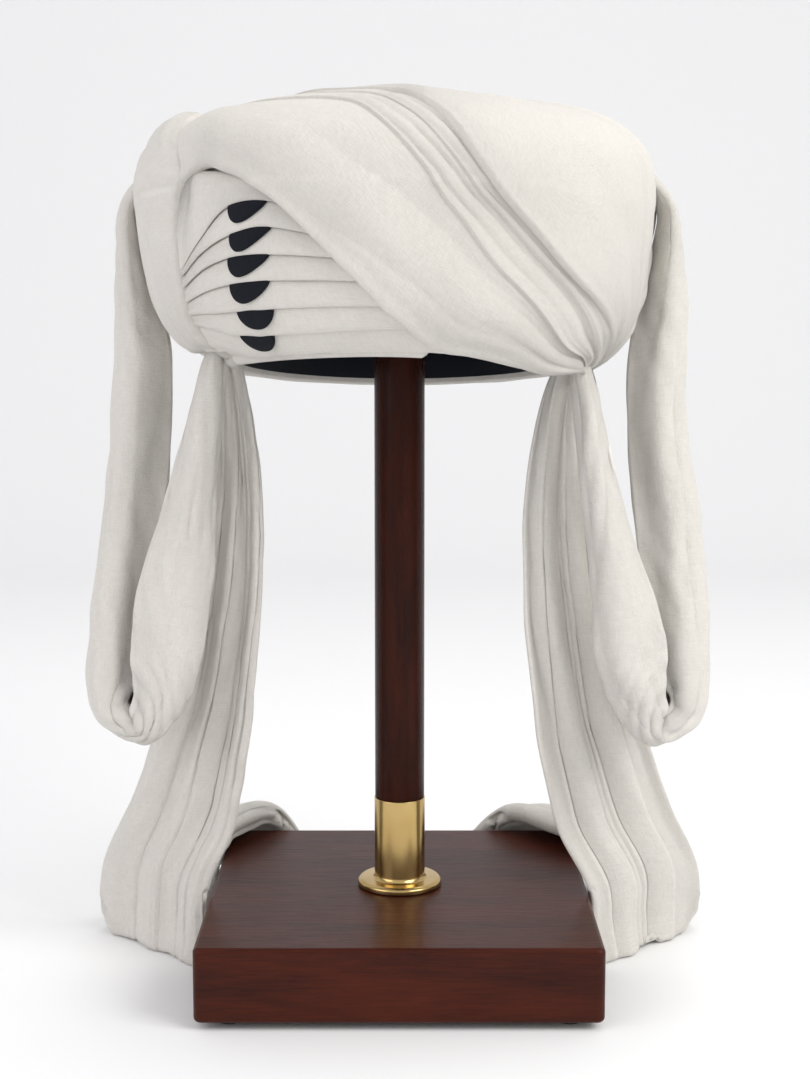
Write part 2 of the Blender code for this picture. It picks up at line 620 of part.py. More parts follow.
def below_hem(points, leaning=0.0):
    """The points set at the height where cloth meets the hem from below, lower where its end leans."""
    points = points.copy()
    turn = np.arctan2(points[..., 0] / CROWN_WIDTH, -points[..., 1] / CROWN_DEPTH)
    points[..., 2] = rim_height(turn) - HEM_DROP - REST_GAP - leaning
    return points


def tie_point(side):
    """Middle of the hem where that side's loop and tail are tied in."""
    turn = np.array([math.radians(TIE_TURN) * side])
    outer = crown(turn, 0.0, -HEM_INSET)[0]
    inner = lining_ring(turn, 0.0, LINING_WALL + LAYER_GAP)[0]
    return below_hem(outer * HEM_MIDDLE + inner * (1 - HEM_MIDDLE))


def build_loop(name, side):
    """A loop of cloth folded lengthwise into a gutter that is open to the inside of the loop: it leaves the crown's
    side, hangs, turns and comes back up to the tie."""
    place = np.linspace(0, 1, 26)
    read = table(LOOP, LOOP_COLUMNS, place)
    tie = tie_point(side)
    top = RIM_HEIGHT + CROWN_HEIGHT * 0.84
    low = top - LOOP_FALL
    skew = LOOP_SKEW[side] * smooth((read["fall"] - 0.8) / 0.2)
    outward = LOOP_SPREAD * (read["out"] + skew * side)
    back = read["back"] * CROWN_DEPTH / 2
    up = top - (top - low) * read["fall"]
    spine = np.stack([side * outward, back, up], axis=-1)
    spine[-1, 2] = tie[2]
    middle_line = LOOP_SPREAD * (0.82 - 0.35 * (1 - smooth(place / 0.3)))
    inward = np.zeros_like(spine)
    inward[:, 0] = side * middle_line - spine[:, 0]
    inward[:, 2] = (low + LOOP_SPREAD * 0.20 - spine[:, 2]).clip(0)
    tangent = np.gradient(spine, axis=0)
    tangent /= np.linalg.norm(tangent, axis=1, keepdims=True)
    inward -= tangent * (inward * tangent).sum(axis=1, keepdims=True)
    inward /= np.linalg.norm(inward, axis=1, keepdims=True)
    across = np.cross(tangent, inward)
    gutter = ((1.0, 0.62), (0.62, 1.0), (0.22, 0.84), (0.0, 0.0), (0.22, -0.84), (0.62, -1.0), (1.0, -0.62))
    section = through(gutter, np.linspace(0, 1, 9))
    reach = LOOP_REACH * read["reach"]
    girth = LOOP_GIRTH / 2 * read["girth"]
    middle = (spine[:, None] + inward[:, None] * section[:, 0, None] * reach[:, None, None]
              + across[:, None] * section[:, 1, None] * girth[:, None, None])
    clear = outside_crown(middle, CLOTH + BAND_RISE / 2 + LAYER_GAP * 5 + LOOP_WALL / 2)
    push = np.linalg.norm(clear - middle, axis=-1).max(axis=1) * (place < 0.5)
    middle[..., 0] += side * push[:, None]
    middle[-1] = below_hem(middle[-1])
    sheet(name, middle, LOOP_WALL, "white_cloth")


def tail_edges(side, place_hang, place_trail):
    """Inner and outer edge of a tail, the hanging part and then the end that trails on the floor."""
    tie = tie_point(side)
    hang = table(TAIL, TAIL_COLUMNS, place_hang)
    trail = table(TRAIL, TRAIL_COLUMNS, place_trail)
    half, beside = BOARD_SIDE / 2, BOARD_SIDE / 2 + 0.08 * TRAIL_SPREAD
    swell = TAIL_SWELL[side] * hang["swell"] * TAIL_WIDTH
    inner_out = abs(tie[0]) * (1 - hang["to_board"]) + beside * hang["to_board"] - swell
    up = tie[2] * hang["height"]
    stand = [TRAIL[0][TRAIL_COLUMNS.index(key)] * half for key in ("in_back", "out_back")]
    inner_back = tie[1] + (stand[0] - tie[1]) * hang["drift"]
    outer_back = tie[1] + (stand[1] - tie[1]) * hang["drift"]
    inner = np.stack([side * inner_out, inner_back, up], axis=-1)
    outer = np.stack([side * (inner_out + TAIL_WIDTH * hang["width"]), outer_back, up], axis=-1)
    reach = {key: np.where(trail[key] < 0, trail[key] * TRAIL_INWARD[side], trail[key]) for key in ("in_out", "out_out")}
    inner_end = np.stack([side * (half + TRAIL_SPREAD * reach["in_out"]), half * trail["in_back"],
                          BOARD_TOP * trail["in_up"]], axis=-1)
    outer_end = np.stack([side * (half + TRAIL_SPREAD * reach["out_out"]), half * trail["out_back"],
                          BOARD_TOP * trail["out_up"]], axis=-1)
    wall = np.append(np.full(len(place_hang), TAIL_WALL), TAIL_WALL + (TRAIL_WALL - TAIL_WALL) * trail["wall"])
    return np.vstack([inner, inner_end]), np.vstack([outer, outer_end]), wall


def build_tail(name, side):
    """A tail: the pleated cloth that falls from the tie, spreads, meets the floor beside the board and trails back
    round its corner."""
    hang = np.append(np.linspace(0, 0.72, 7), np.linspace(0.78, 1, 7))
    inner, outer, wall = tail_edges(side, hang, np.linspace(0, 1, 17))
    across = np.linspace(0, 1, 10)
    middle = inner[:, None] * (1 - across[:, None]) + outer[:, None] * across[:, None]
    facing = np.cross(outer - inner, np.gradient((inner + outer) / 2, axis=0))
    facing /= np.linalg.norm(facing, axis=1, keepdims=True)
    stations = np.linspace(0, 1, len(inner))
    swing = 0.0036 * (1 - 0.7 * smooth((stations - 0.45) / 0.2))
    fold = np.sin(2 * math.pi * TAIL_FOLDS * across)
    middle = middle + facing[:, None] * (swing[:, None] * fold)[..., None]
    middle[0] = below_hem(middle[0], TAIL_WALL * 0.12)
    middle = outside_board(middle, wall[:, None] / 2)
    sheet(name, middle, wall[:, None], "white_cloth")


def main():
    for old in list(bpy.data.objects):
        bpy.data.objects.remove(old)
    turn = np.arange(TURNS) * 2 * math.pi / TURNS
    build_board()
    build_feet()
    build_socket()
    build_pole()
    build_head_block()
    build_lining(turn)
    build_crown_side()
    build_crown_top(turn)
    build_pleats()
    build_tabs()
    build_front_wrap()
    build_side_wrap()
    build_left_band()
    for name, side in (("left", LEFT), ("right", RIGHT)):
        build_loop(f"{name}_loop", side)
        build_tail(f"{name}_tail", side)


main()
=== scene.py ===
"""A white pagri, a wound and tied turban, on its turned display stand, dressed for a close look.

Metres, +Z up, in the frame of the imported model. The crown is one closed form, crown(turn, climb): turn
goes round it from the front, climb goes from the rim, 0, to the top, 1. Wraps, pleats and tabs are cloth
that keeps its own distance from that form. Every new piece is a grid of points worked out as whole arrays.
"""

import math

import bpy
import numpy as np
from bpy.props import FloatProperty, FloatVectorProperty, IntProperty, PointerProperty
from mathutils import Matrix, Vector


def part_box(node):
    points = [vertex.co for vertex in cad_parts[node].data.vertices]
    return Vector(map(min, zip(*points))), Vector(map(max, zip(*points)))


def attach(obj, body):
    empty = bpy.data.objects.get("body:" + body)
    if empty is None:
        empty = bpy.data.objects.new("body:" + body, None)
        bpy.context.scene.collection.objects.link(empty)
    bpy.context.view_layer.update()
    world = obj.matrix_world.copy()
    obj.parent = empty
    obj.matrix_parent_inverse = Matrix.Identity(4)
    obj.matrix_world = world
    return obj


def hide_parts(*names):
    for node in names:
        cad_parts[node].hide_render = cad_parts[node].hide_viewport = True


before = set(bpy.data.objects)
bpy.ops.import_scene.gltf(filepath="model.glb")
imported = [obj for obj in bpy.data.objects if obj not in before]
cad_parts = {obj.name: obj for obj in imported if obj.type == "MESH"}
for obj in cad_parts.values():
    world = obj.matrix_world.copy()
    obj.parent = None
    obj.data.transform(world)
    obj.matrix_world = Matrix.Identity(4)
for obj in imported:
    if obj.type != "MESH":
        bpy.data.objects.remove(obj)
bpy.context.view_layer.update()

bl_info = {
    "name": "Tied pagri on a display stand",
    "version": (1, 0, 0),
    "blender": (4, 5, 0),
    "location": "View3D > Sidebar > Pagri",
    "description": "Builds a wound and tied white pagri on its wooden stand around its packed model",
    "category": "Object",
}

BODY = "root"

# Crown
CROWN_WIDTH = 0.268
CROWN_DEPTH = 0.298
CROWN_HEIGHT = 0.133
CROWN_INSET = 0.0044
HEM_INSET = 0.0012
RIM_HEIGHT = 0.335
RIM_TILT = 0.013
RIM_SAG = 0.008
SAG_TURN = math.radians(46)
SAG_SPREAD = math.radians(26)
RIM_SHARE = 0.755
TAPER = 0.08
BELLY_SHARE = 0.634
LOWER_POWER = 5.8
UPPER_POWER = 3.2
MOUND_HEIGHT = 0.0040
MOUND_SPREAD = 0.047
MOUND_RIGHT = -0.019
HEM_DROP = 0.002
HEM_MIDDLE = 0.6
HEM_ROLL = 0.0045

# Lining
OPENING_WIDTH = 0.174
OPENING_DEPTH = 0.192
LINING_WALL = 0.002
LINING_LIFT = 0.002
LINING_DEPTH = 0.108
LINING_POWER = 3.2
LINING_TOP = RIM_HEIGHT + LINING_DEPTH

# Cloth
LAYER_GAP = 0.0006
REST_GAP = 0.0003
PLEAT_TUCK = 0.0018
PLEAT_RISE = 0.0028
BAND_RISE = 0.0046
TAB_WIDTH = 0.020
TAB_DEPTH = 0.0095
TAB_LIFT = 0.0008
LOOP_WALL = 0.0026
TAIL_WALL = 0.0036
TRAIL_WALL = 0.0120
BOARD_CLEARANCE = 0.0012
TIE_TURN = math.radians(72)
LOOP_FALL = 0.311
LOOP_SPREAD = 0.1605
LOOP_REACH = 0.031
LOOP_GIRTH = 0.026
LOOP_CLEARANCE = 0.004
LOOP_SKEW = 0.035
LOOP_TOP = RIM_HEIGHT + CROWN_HEIGHT * 0.84
TAIL_WIDTH = 0.063
TRAIL_SPREAD = 0.065
LEFT, RIGHT = -1, 1

# Relief of the cloth. FOLD_MEAN is taken off folds, so that they go in as much as out. INNER_GAP keeps the
# inner side of a laid sheet under its outer one. SHEET_EDGE is what is left of a wall at a free edge.
LAYER_RELIEF = 0.0030
DRAWN_RELIEF = 0.0006
HEM_ROUND = 0.0005
FOLD_MEAN = 0.6
WRAP_WAVE = 0.0018
SIDE_WAVE = 0.0006
TUCK_EDGE = 0.0007
LOOP_FOLD = 0.0011
LOOP_CREASE = 0.0008
CREASE_PITCH = 0.013
TAIL_SWING = 0.0030
TAIL_FOLD = 0.0013
CORNER_LIFT = 0.011
FRONT_EDGE = 0.0022
SIDE_EDGE = 0.0016
BACK_EDGE = 0.0022
BAND_EDGES = (0.0016, 0.0024)
TAB_EDGE = 0.0016
TAB_BED = 0.0002
INNER_GAP = 0.0003
SHEET_EDGE = 0.0003
HEM_COLUMNS = 8
# Soft ridges beside the edge of a wrap: height, distance from the edge and width of each.
FRONT_RIDGES = ((0.0007, 0.0034, 0.0024), (-0.0005, 0.0085, 0.003))
SIDE_RIDGES = ((0.0005, 0.0030, 0.0018), (-0.0004, 0.0066, 0.0024))
BACK_RIDGES = ((0.0008, 0.0035, 0.0026),)
# Layers laid in the side wrap: share of the way from its front edge to its back one, height of each.
SIDE_TUCKS = ((0.30, 0.0012), (0.52, 0.0013), (0.74, 0.0012))
# Layers of crumple: share of the crumple setting, seed, size and how far they are drawn out along the cloth.
LOOP_CRUMPLE = ((2.2, 20, 0.030, 2.6), (0.7, 40, 0.011, 2.2))
TAIL_CRUMPLE = ((2.0, 30, 0.034, 2.4), (0.6, 50, 0.011, 2.2))

# Stand
BOARD_EDGE = 0.0028
BOARD_CORNER = 0.0042
FLAT_MARGIN = 0.0006
SLEEVE_WALL = 0.0004
SPIGOT_INSET = 0.0015
BORE_INSET = 0.0012
FLANGE_HEIGHT = 0.0042
FLANGE_ROUND = 0.0016
BLOCK_DOME = 0.009

# Lines on the crown, as seen from above with the rim at radius 1: right, then back. One row for each
# station from the left of the crown to the tie at the right.
EDGE_LINE = (
    (-0.640, -0.350), (-0.425, -0.427), (-0.353, -0.501), (-0.289, -0.591), (-0.217, -0.713),
    (-0.137, -0.807), (-0.008, -0.903), (0.214, -0.955), (0.605, -0.780), (0.856, -0.491),
)
LOW_TUCK = (
    (-0.590, -0.200), (-0.350, -0.200), (-0.235, -0.320), (-0.100, -0.428), (-0.030, -0.520),
    (0.045, -0.598), (0.132, -0.676), (0.310, -0.745), (0.610, -0.685), (0.862, -0.470),
)
MID_TUCK = (
    (-0.540, -0.100), (-0.320, -0.100), (-0.195, -0.255), (-0.056, -0.388), (0.014, -0.486),
    (0.104, -0.574), (0.213, -0.639), (0.400, -0.662), (0.665, -0.580), (0.875, -0.420),
)
HIGH_TUCK = (
    (-0.500, 0.030), (-0.290, 0.000), (-0.150, -0.180), (-0.016, -0.334), (0.060, -0.456), (0.168, -0.562),
    (0.305, -0.612), (0.500, -0.600), (0.725, -0.480), (0.898, -0.340),
)
BACK_LINE = (
    (-0.520, 0.280), (-0.400, 0.300), (-0.300, 0.520), (-0.080, 0.720), (0.180, 0.810), (0.420, 0.780),
    (0.640, 0.670), (0.815, 0.480), (0.925, 0.230), (0.965, -0.080),
)
BAND_INNER = (
    (-0.800, -0.545), (-0.745, -0.504), (-0.672, -0.480), (-0.614, -0.448), (-0.545, -0.420),
    (-0.490, -0.408), (-0.446, -0.400), (-0.418, -0.310), (-0.395, -0.150), (-0.425, 0.100),
    (-0.530, 0.390),
)
BAND_OUTER = (
    (-0.885, -0.400), (-0.900, -0.300), (-0.880, -0.210), (-0.835, -0.120), (-0.770, -0.060),
    (-0.705, -0.030), (-0.650, -0.020), (-0.600, 0.030), (-0.570, 0.130), (-0.570, 0.270), (-0.590, 0.430),
)

# Pleat creases from the top one down: turn in degrees and climb at the gather, climb half way to the tabs
# and at each side of them, turn and climb where the crease goes under the front wrap.
PLEAT_COLUMNS = ("gather_turn", "gather", "half_way", "tab_left", "tab_right", "under_turn", "under")
PLEATS = (
    (-46.0, 0.405, 0.402, 0.392, 0.368, -22.0, 0.335),
    (-53.4, 0.222, 0.275, 0.327, 0.335, -18.5, 0.305),
    (-53.5, 0.203, 0.243, 0.272, 0.284, -14.0, 0.258),
    (-53.9, 0.180, 0.211, 0.228, 0.230, -9.5, 0.216),
    (-54.5, 0.150, 0.168, 0.177, 0.179, -5.0, 0.172),
    (-54.7, 0.122, 0.122, 0.123, 0.124, 0.5, 0.125),
    (-54.3, 0.096, 0.076, 0.067, 0.066, 8.0, 0.077),
    (-53.6, 0.030, 0.002, 0.001, 0.001, 14.0, 0.012),
)
CREASE_TURNS = (-45.0, -36.5, -27.0)
# One pleat from its upper crease to its lower edge, which overhangs the next: share of the way down, share
# of rise.
PLEAT_PROFILE = (
    (0.0, 0.02), (0.10, 0.16), (0.30, 0.50), (0.55, 0.82), (0.80, 1.0), (0.97, 0.92), (1.05, 0.60),
    (1.02, 0.22), (0.97, 0.05),
)

# Tabs from the top one down: middle turn in degrees, width and lean of the half moon.
TABS = (
    (-31.1, 1.04, 0.45), (-31.0, 1.15, 0.50), (-32.1, 1.18, 0.45), (-32.8, 1.17, 0.30), (-33.1, 1.12, 0.0),
    (-36.2, 1.12, 0.0),
)

# One loop, from its top on the crown round the bottom to the tie. Out and fall are shares of the loop's
# spread and fall, back is a share of the crown's half depth, reach and girth are the size of the folded
# cloth.
LOOP_COLUMNS = ("out", "fall", "back", "reach", "girth")
LOOP = (
    (0.745, -0.015, -0.08, 0.20, 0.70),
    (0.875, 0.100, -0.05, 0.36, 0.95),
    (0.930, 0.240, -0.02, 0.76, 1.20),
    (0.952, 0.365, -0.02, 0.95, 1.10),
    (0.972, 0.500, -0.04, 1.02, 1.00),
    (1.005, 0.640, -0.10, 1.08, 1.00),
    (1.028, 0.780, -0.17, 1.06, 1.00),
    (1.015, 0.900, -0.23, 0.92, 0.95),
    (0.940, 0.972, -0.27, 0.62, 0.90),
    (0.800, 1.000, -0.30, 0.54, 0.90),
    (0.700, 0.945, -0.31, 0.86, 0.90),
    (0.655, 0.860, -0.32, 1.16, 0.95),
    (0.634, 0.750, -0.33, 1.16, 0.90),
    (0.606, 0.620, -0.34, 0.90, 0.85),
    (0.580, 0.500, -0.35, 0.68, 0.75),
    (0.568, 0.410, -0.35, 0.46, 0.62),
    (0.556, 0.331, -0.34, 0.30, 0.45),
)
# How wide the arm that goes up to the tie is beside its row in the table.
ARM_REACH = {LEFT: 1.0, RIGHT: 0.76}
# The loop's section, a gutter that is open to the inside of the loop: share of reach, share of girth.
GUTTER = ((1.0, 0.62), (0.62, 1.0), (0.22, 0.84), (0.0, 0.0), (0.22, -0.84), (0.62, -1.0), (1.0, -0.62))

# One tail, from the tie down to the floor. Height is a share of the tie's height, to_board how far the
# inner edge has gone from the tie to the board's side, swell and width shares of the tail's width, drift
# how far its inner and outer edges have gone back to where they stand on the floor.
TAIL_COLUMNS = ("height", "to_board", "swell", "width", "drift")
TAIL = (
    (1.030, 0.00, 0.08, 0.24, 0.00),
    (0.950, 0.00, 0.19, 0.34, 0.03),
    (0.850, 0.00, 0.27, 0.46, 0.08),
    (0.740, 0.00, 0.30, 0.56, 0.15),
    (0.610, 0.00, 0.28, 0.66, 0.25),
    (0.480, 0.08, 0.25, 0.79, 0.38),
    (0.360, 0.28, 0.23, 0.94, 0.55),
    (0.240, 0.58, 0.18, 1.05, 0.74),
    (0.140, 0.89, 0.05, 1.07, 0.90),
    (0.055, 0.97, 0.03, 1.10, 1.00),
)
# The tail's end beyond the floor line: the inner and outer edge, each as right of the board's side (share
# of the trail's spread), back of its middle (share of half its side) and height (share of the board's top).
TRAIL_COLUMNS = ("in_out", "in_back", "in_up", "out_out", "out_back", "out_up", "wall")
TRAIL = (
    (0.08, -0.16, 0.03, 1.08, 0.43, 0.03, 0.0),
    (0.08, 0.06, 0.10, 1.04, 0.56, 0.06, 0.1),
    (0.07, 0.28, 0.60, 0.90, 0.70, 0.16, 0.4),
    (-0.01, 0.50, 1.14, 0.66, 0.94, 0.30, 0.8),
    (-0.20, 0.76, 1.18, 0.30, 1.18, 0.34, 1.0),
    (-0.43, 1.00, 1.12, -0.14, 1.36, 0.26, 1.0),
    (-0.64, 1.13, 0.55, -0.42, 1.42, 0.18, 0.9),
    (-0.72, 1.20, 0.12, -0.56, 1.40, 0.12, 0.7),
)
# How far the trailing end arches up across its width, how much further it goes in behind the board at each
# side, and how much further each tail swells out towards the pole.
TRAIL_ARCH = 0.015
TRAIL_INWARD = {LEFT: 1.0, RIGHT: 1.45}
TAIL_SWELL = {LEFT: 1.0, RIGHT: 1.3}
# Where the sharp pleats of a tail run, as shares of its width from its inner edge.
TAIL_PLEATS = {LEFT: (0.06, 0.17, 0.27, 0.44, 0.68), RIGHT: (0.20, 0.40, 0.47, 0.54, 0.76)}

BOARD_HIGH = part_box("base_board")[1]
BOARD_HALF, BOARD_TOP = BOARD_HIGH.x, BOARD_HIGH.z


class PagriCloth(bpy.types.PropertyGroup):
    """Sizes and colours of the cloth."""

    colour: FloatVectorProperty(
        name="Cloth", description="Colour of the white cotton", default=(0.79, 0.762, 0.715),
        subtype="COLOR", min=0, max=1)
    hollow_colour: FloatVectorProperty(
        name="Thin places", description="Colour where the cotton is thin or lies in a fold",
        default=(0.67, 0.64, 0.59), subtype="COLOR", min=0, max=1)
    thread_pitch: FloatProperty(
        name="Thread pitch", description="From one thread to the next", default=0.0008, unit="LENGTH",
        min=0.0002)
    weave_relief: FloatProperty(
        name="Weave relief", description="How far the threads stand out", default=0.00040, unit="LENGTH",
        min=0)
    fold_depth: FloatProperty(
        name="Fold depth", description="Depth of the folds drawn in to a tie", default=0.0011,
        unit="LENGTH", min=0)
    crumple: FloatProperty(
        name="Crumple", description="Height of the soft unevenness all over", default=0.00050,
        unit="LENGTH", min=0)
    thickness: FloatProperty(
        name="Cloth thickness", description="Thickness of one wrap, which is folded cloth", default=0.0022,
        unit="LENGTH", min=0.0005)
    tuck_step: FloatProperty(
        name="Tuck step", description="Height of one tuck laid in the front wrap", default=0.0013,
        unit="LENGTH", min=0)
    layers: IntProperty(
        name="Wound layers", description="Turns of cloth seen on the back of the crown", default=6, min=2,
        max=12)
    dark_colour: FloatVectorProperty(
        name="Tabs and lining", description="Colour of the dark felt", default=(0.0060, 0.0075, 0.0140),
        subtype="COLOR", min=0, max=1)
    tab_thickness: FloatProperty(
        name="Tab thickness", description="Thickness of the felt half moons", default=0.0015, unit="LENGTH",
        min=0.0003)


class PagriStand(bpy.types.PropertyGroup):
    """Sizes and colours of the stand."""

    board_colour: FloatVectorProperty(
        name="Board", description="Colour of the board's wood", default=(0.070, 0.013, 0.005),
        subtype="COLOR", min=0, max=1)
    board_dark: FloatVectorProperty(
        name="Board grain", description="Colour of the board's dark grain", default=(0.026, 0.006, 0.004),
        subtype="COLOR", min=0, max=1)
    pole_colour: FloatVectorProperty(
        name="Pole", description="Colour of the pole's wood", default=(0.044, 0.009, 0.004),
        subtype="COLOR", min=0, max=1)
    pole_dark: FloatVectorProperty(
        name="Pole grain", description="Colour of the pole's dark grain", default=(0.012, 0.004, 0.003),
        subtype="COLOR", min=0, max=1)
    brass_colour: FloatVectorProperty(
        name="Brass", description="Colour of the brass", default=(0.56, 0.40, 0.17), subtype="COLOR", min=0,
        max=1)
    turned_sides: IntProperty(
        name="Sides of turned pieces", description="Flats round a turned piece", default=128, min=24,
        max=256)


class PagriStage(bpy.types.PropertyGroup):
    """The camera, the lights and the backdrop."""

    camera_place: FloatVectorProperty(
        name="Camera place", description="Where the camera stands", default=(0.003, -0.960, 0.362),
        subtype="TRANSLATION", unit="LENGTH")
    camera_down: FloatProperty(
        name="Camera tilt", description="How far the camera looks down", default=math.radians(7.29),
        subtype="ANGLE")
    lens: FloatProperty(name="Lens", description="Focal length in millimetres", default=58.65, min=10)
    backdrop_colour: FloatVectorProperty(
        name="Backdrop", description="Colour of the paper floor and wall", default=(0.88, 0.88, 0.885),
        subtype="COLOR", min=0, max=1)
    key_watts: FloatProperty(
        name="Key light", description="Strength of the large light at the right", default=18, min=0)
    fill_watts: FloatProperty(
        name="Fill light", description="Strength of the light at the left", default=8, min=0)
    top_watts: FloatProperty(name="Top light", description="Strength of the light above", default=4, min=0)
    sky: FloatProperty(
        name="Room light", description="Strength of the even light all round", default=0.80, min=0)


def smooth(value):
    """0 to 1 with a soft start and end."""
    value = np.clip(value, 0.0, 1.0)
    return value * value * (3 - 2 * value)


def through(rows, places):
    """The smooth curve through the rows, read at places from 0 to 1: a Catmull-Rom spline by row number."""
    rows = np.asarray(rows, float)
    rows = rows.reshape(len(rows), -1)
    padded = np.vstack([2 * rows[0] - rows[1], rows, 2 * rows[-1] - rows[-2]])
    along = np.clip(np.asarray(places, float), 0, 1) * (len(rows) - 1)
    first = np.minimum(along.astype(int), len(rows) - 2)
    u = (along - first)[:, None]
    a, b, c, d = (padded[first + k] for k in range(4))
    return 0.5 * (2 * b + (c - a) * u + (2 * a - 5 * b + 4 * c - d) * u**2 + (3 * b - a - 3 * c + d) * u**3)


def table(rows, columns, places):
    """The rows of a table read at places, as a dict of its named columns."""
    return dict(zip(columns, through(rows, places).T, strict=True))


def crumple(along, across, seed, size, stretch=1.0, waves=10):
    """Soft unevenness of about -1 to 1 at places in metres: the sum of a few sine waves of the given size
    in chance directions, drawn out along the cloth by stretch."""
    chance = np.random.default_rng(seed)
    heading = chance.uniform(0, 2 * math.pi, waves)
    pitch = size * chance.uniform(0.7, 1.6, waves)
    start = chance.uniform(0, 2 * math.pi, waves)
    total = 0.0
    for turn, length, phase in zip(heading, pitch, start, strict=True):
        distance = along * math.cos(turn) / stretch + across * math.sin(turn)
        total = total + np.sin(2 * math.pi * distance / length + phase)
    return total / math.sqrt(waves)


def crumpled(layers, along, across, side, height):
    """The sum of a table's layers of crumple, as shares of height, with their own seeds for each side."""
    return sum(share * height * crumple(along, across, seed + side, size, stretch)
               for share, seed, size, stretch in layers)


def folds(phase):
    """Round crests between narrow valleys, 0 in the valleys and 1 on the crests, one to each whole
    phase."""
    return np.abs(np.sin(math.pi * phase)) ** 0.8


def rounded(distance, radius):
    """A quarter round: 0 at the edge, 1 at radius and beyond."""
    return np.sqrt(1 - (1 - np.clip(distance / radius, 0, 1)) ** 2)


def bump(distance, width):
    """A soft ridge, 1 at no distance and falling away over width."""
    return np.exp(-((distance / width) ** 2))


def ridged(body, distance, ridges):
    """The relief with the soft ridges of a table added at their distances from an edge."""
    for height, away, width in ridges:
        body = body + height * bump(distance - away, width)
    return body


def crown_profile():
    """Climb, height share and radius share down the crown's side: a curve in to the rim below the belly,
    and a superellipse over the top above it, both measured along the cloth."""
    steps = np.linspace(0, 1, 200)
    low_height = BELLY_SHARE * steps
    low_radius = 1 - TAPER * (1 - steps) - (1 - RIM_SHARE - TAPER) * (1 - steps) ** LOWER_POWER
    angle = steps[1:] * math.pi / 2
    top_height = BELLY_SHARE + (1 - BELLY_SHARE) * np.sin(angle) ** (2 / UPPER_POWER)
    height = np.append(low_height, top_height)
    radius = np.append(low_radius, np.cos(angle).clip(0) ** (2 / UPPER_POWER))
    radius[-1] = 0.0
    run = np.hypot(np.diff(height) * CROWN_HEIGHT, np.diff(radius) * CROWN_WIDTH / 2)
    climb = np.append(0, np.cumsum(run))
    return climb / climb[-1], height, radius, climb[-1]


CLIMB, HEIGHT_SHARE, RADIUS_SHARE, CROWN_RUN = crown_profile()


def rim_height(turn):
    """Height of the rim: it is tilted back, and sags where the wrap is drawn down to the right tie."""
    off_sag = (turn - SAG_TURN + math.pi) % (2 * math.pi) - math.pi
    return RIM_HEIGHT + RIM_TILT * np.cos(turn) - RIM_SAG * np.exp(-((off_sag / SAG_SPREAD) ** 2))


def crown_point(turn, climb):
    """Point of the bare crown at a turn and a climb. Below climb 0 it goes on round the hem's roll, a
    circle of radius HEM_ROLL that curls inwards under the rim."""
    height, radius = np.interp(climb, CLIMB, HEIGHT_SHARE), np.interp(climb, CLIMB, RADIUS_SHARE)
    rim = rim_height(turn)
    curl = (-climb).clip(0) * CROWN_RUN / HEM_ROLL
    radius = radius - HEM_ROLL * (1 - np.cos(curl)) * 2 / CROWN_WIDTH
    right, back = CROWN_WIDTH / 2 * radius * np.sin(turn), -CROWN_DEPTH / 2 * radius * np.cos(turn)
    from_mound = ((right - MOUND_RIGHT) ** 2 + (0.8 * back) ** 2) / (2 * MOUND_SPREAD**2)
    over_belly = ((height - BELLY_SHARE) / (1 - BELLY_SHARE)).clip(0, 1)
    up = rim + height * (RIM_HEIGHT + CROWN_HEIGHT - rim) + MOUND_HEIGHT * over_belly * np.exp(-from_mound)
    return np.stack([right, back, up - HEM_ROLL * np.sin(curl)], axis=-1)


def crown(turn, climb, proud=0.0):
    """Point at a distance proud of the bare crown, along its normal."""
    turn, climb, proud = np.broadcast_arrays(turn, climb, proud)
    inside = np.clip(climb, -0.5, 0.985)
    step = 0.004
    round_it = crown_point(turn + step, inside) - crown_point(turn - step, inside)
    up_it = crown_point(turn, inside + step) - crown_point(turn, inside - step)
    normal = np.cross(round_it, up_it)
    normal /= np.linalg.norm(normal, axis=-1, keepdims=True)
    return crown_point(turn, climb) + normal * proud[..., None]


def from_above(places):
    """Turn and climb of points given right and back on the map of the crown seen from above."""
    right, back = places[..., 0], places[..., 1]
    return np.arctan2(right, -back), 1 - np.hypot(right, back).clip(0, 1)


def run_along(points, axis):
    """Distance in metres from the first row or column of a grid, measured along the surface."""
    steps = np.linalg.norm(np.diff(points, axis=axis), axis=-1)
    start = np.zeros_like(np.take(steps, [0], axis=axis))
    return np.concatenate([start, np.cumsum(steps, axis=axis)], axis=axis)


def grid_normal(points):
    """Unit normals of a grid of points, from its two directions."""
    normal = np.cross(np.gradient(points, axis=1), np.gradient(points, axis=0))
    return normal / np.linalg.norm(normal, axis=-1, keepdims=True).clip(1e-12)


def outside_crown(points, margin):
    """The points, with those closer to the crown's side than margin moved out to it."""
    points = points.copy()
    half = np.array([CROWN_WIDTH, CROWN_DEPTH]) / 2
    turn = np.arctan2(points[..., 0] / half[0], -points[..., 1] / half[1])
    rim = rim_height(turn)
    height = (points[..., 2] - rim) / (RIM_HEIGHT + CROWN_HEIGHT - rim)
    wanted = np.interp(height, HEIGHT_SHARE, RADIUS_SHARE) + margin / half.mean()
    radius = np.linalg.norm(points[..., :2] / half, axis=-1)
    inside = (height > -HEM_DROP / CROWN_HEIGHT) & (height < 1) & (radius < wanted)
    points[..., :2] *= np.where(inside, wanted / radius.clip(1e-6), 1.0)[..., None]
    return points


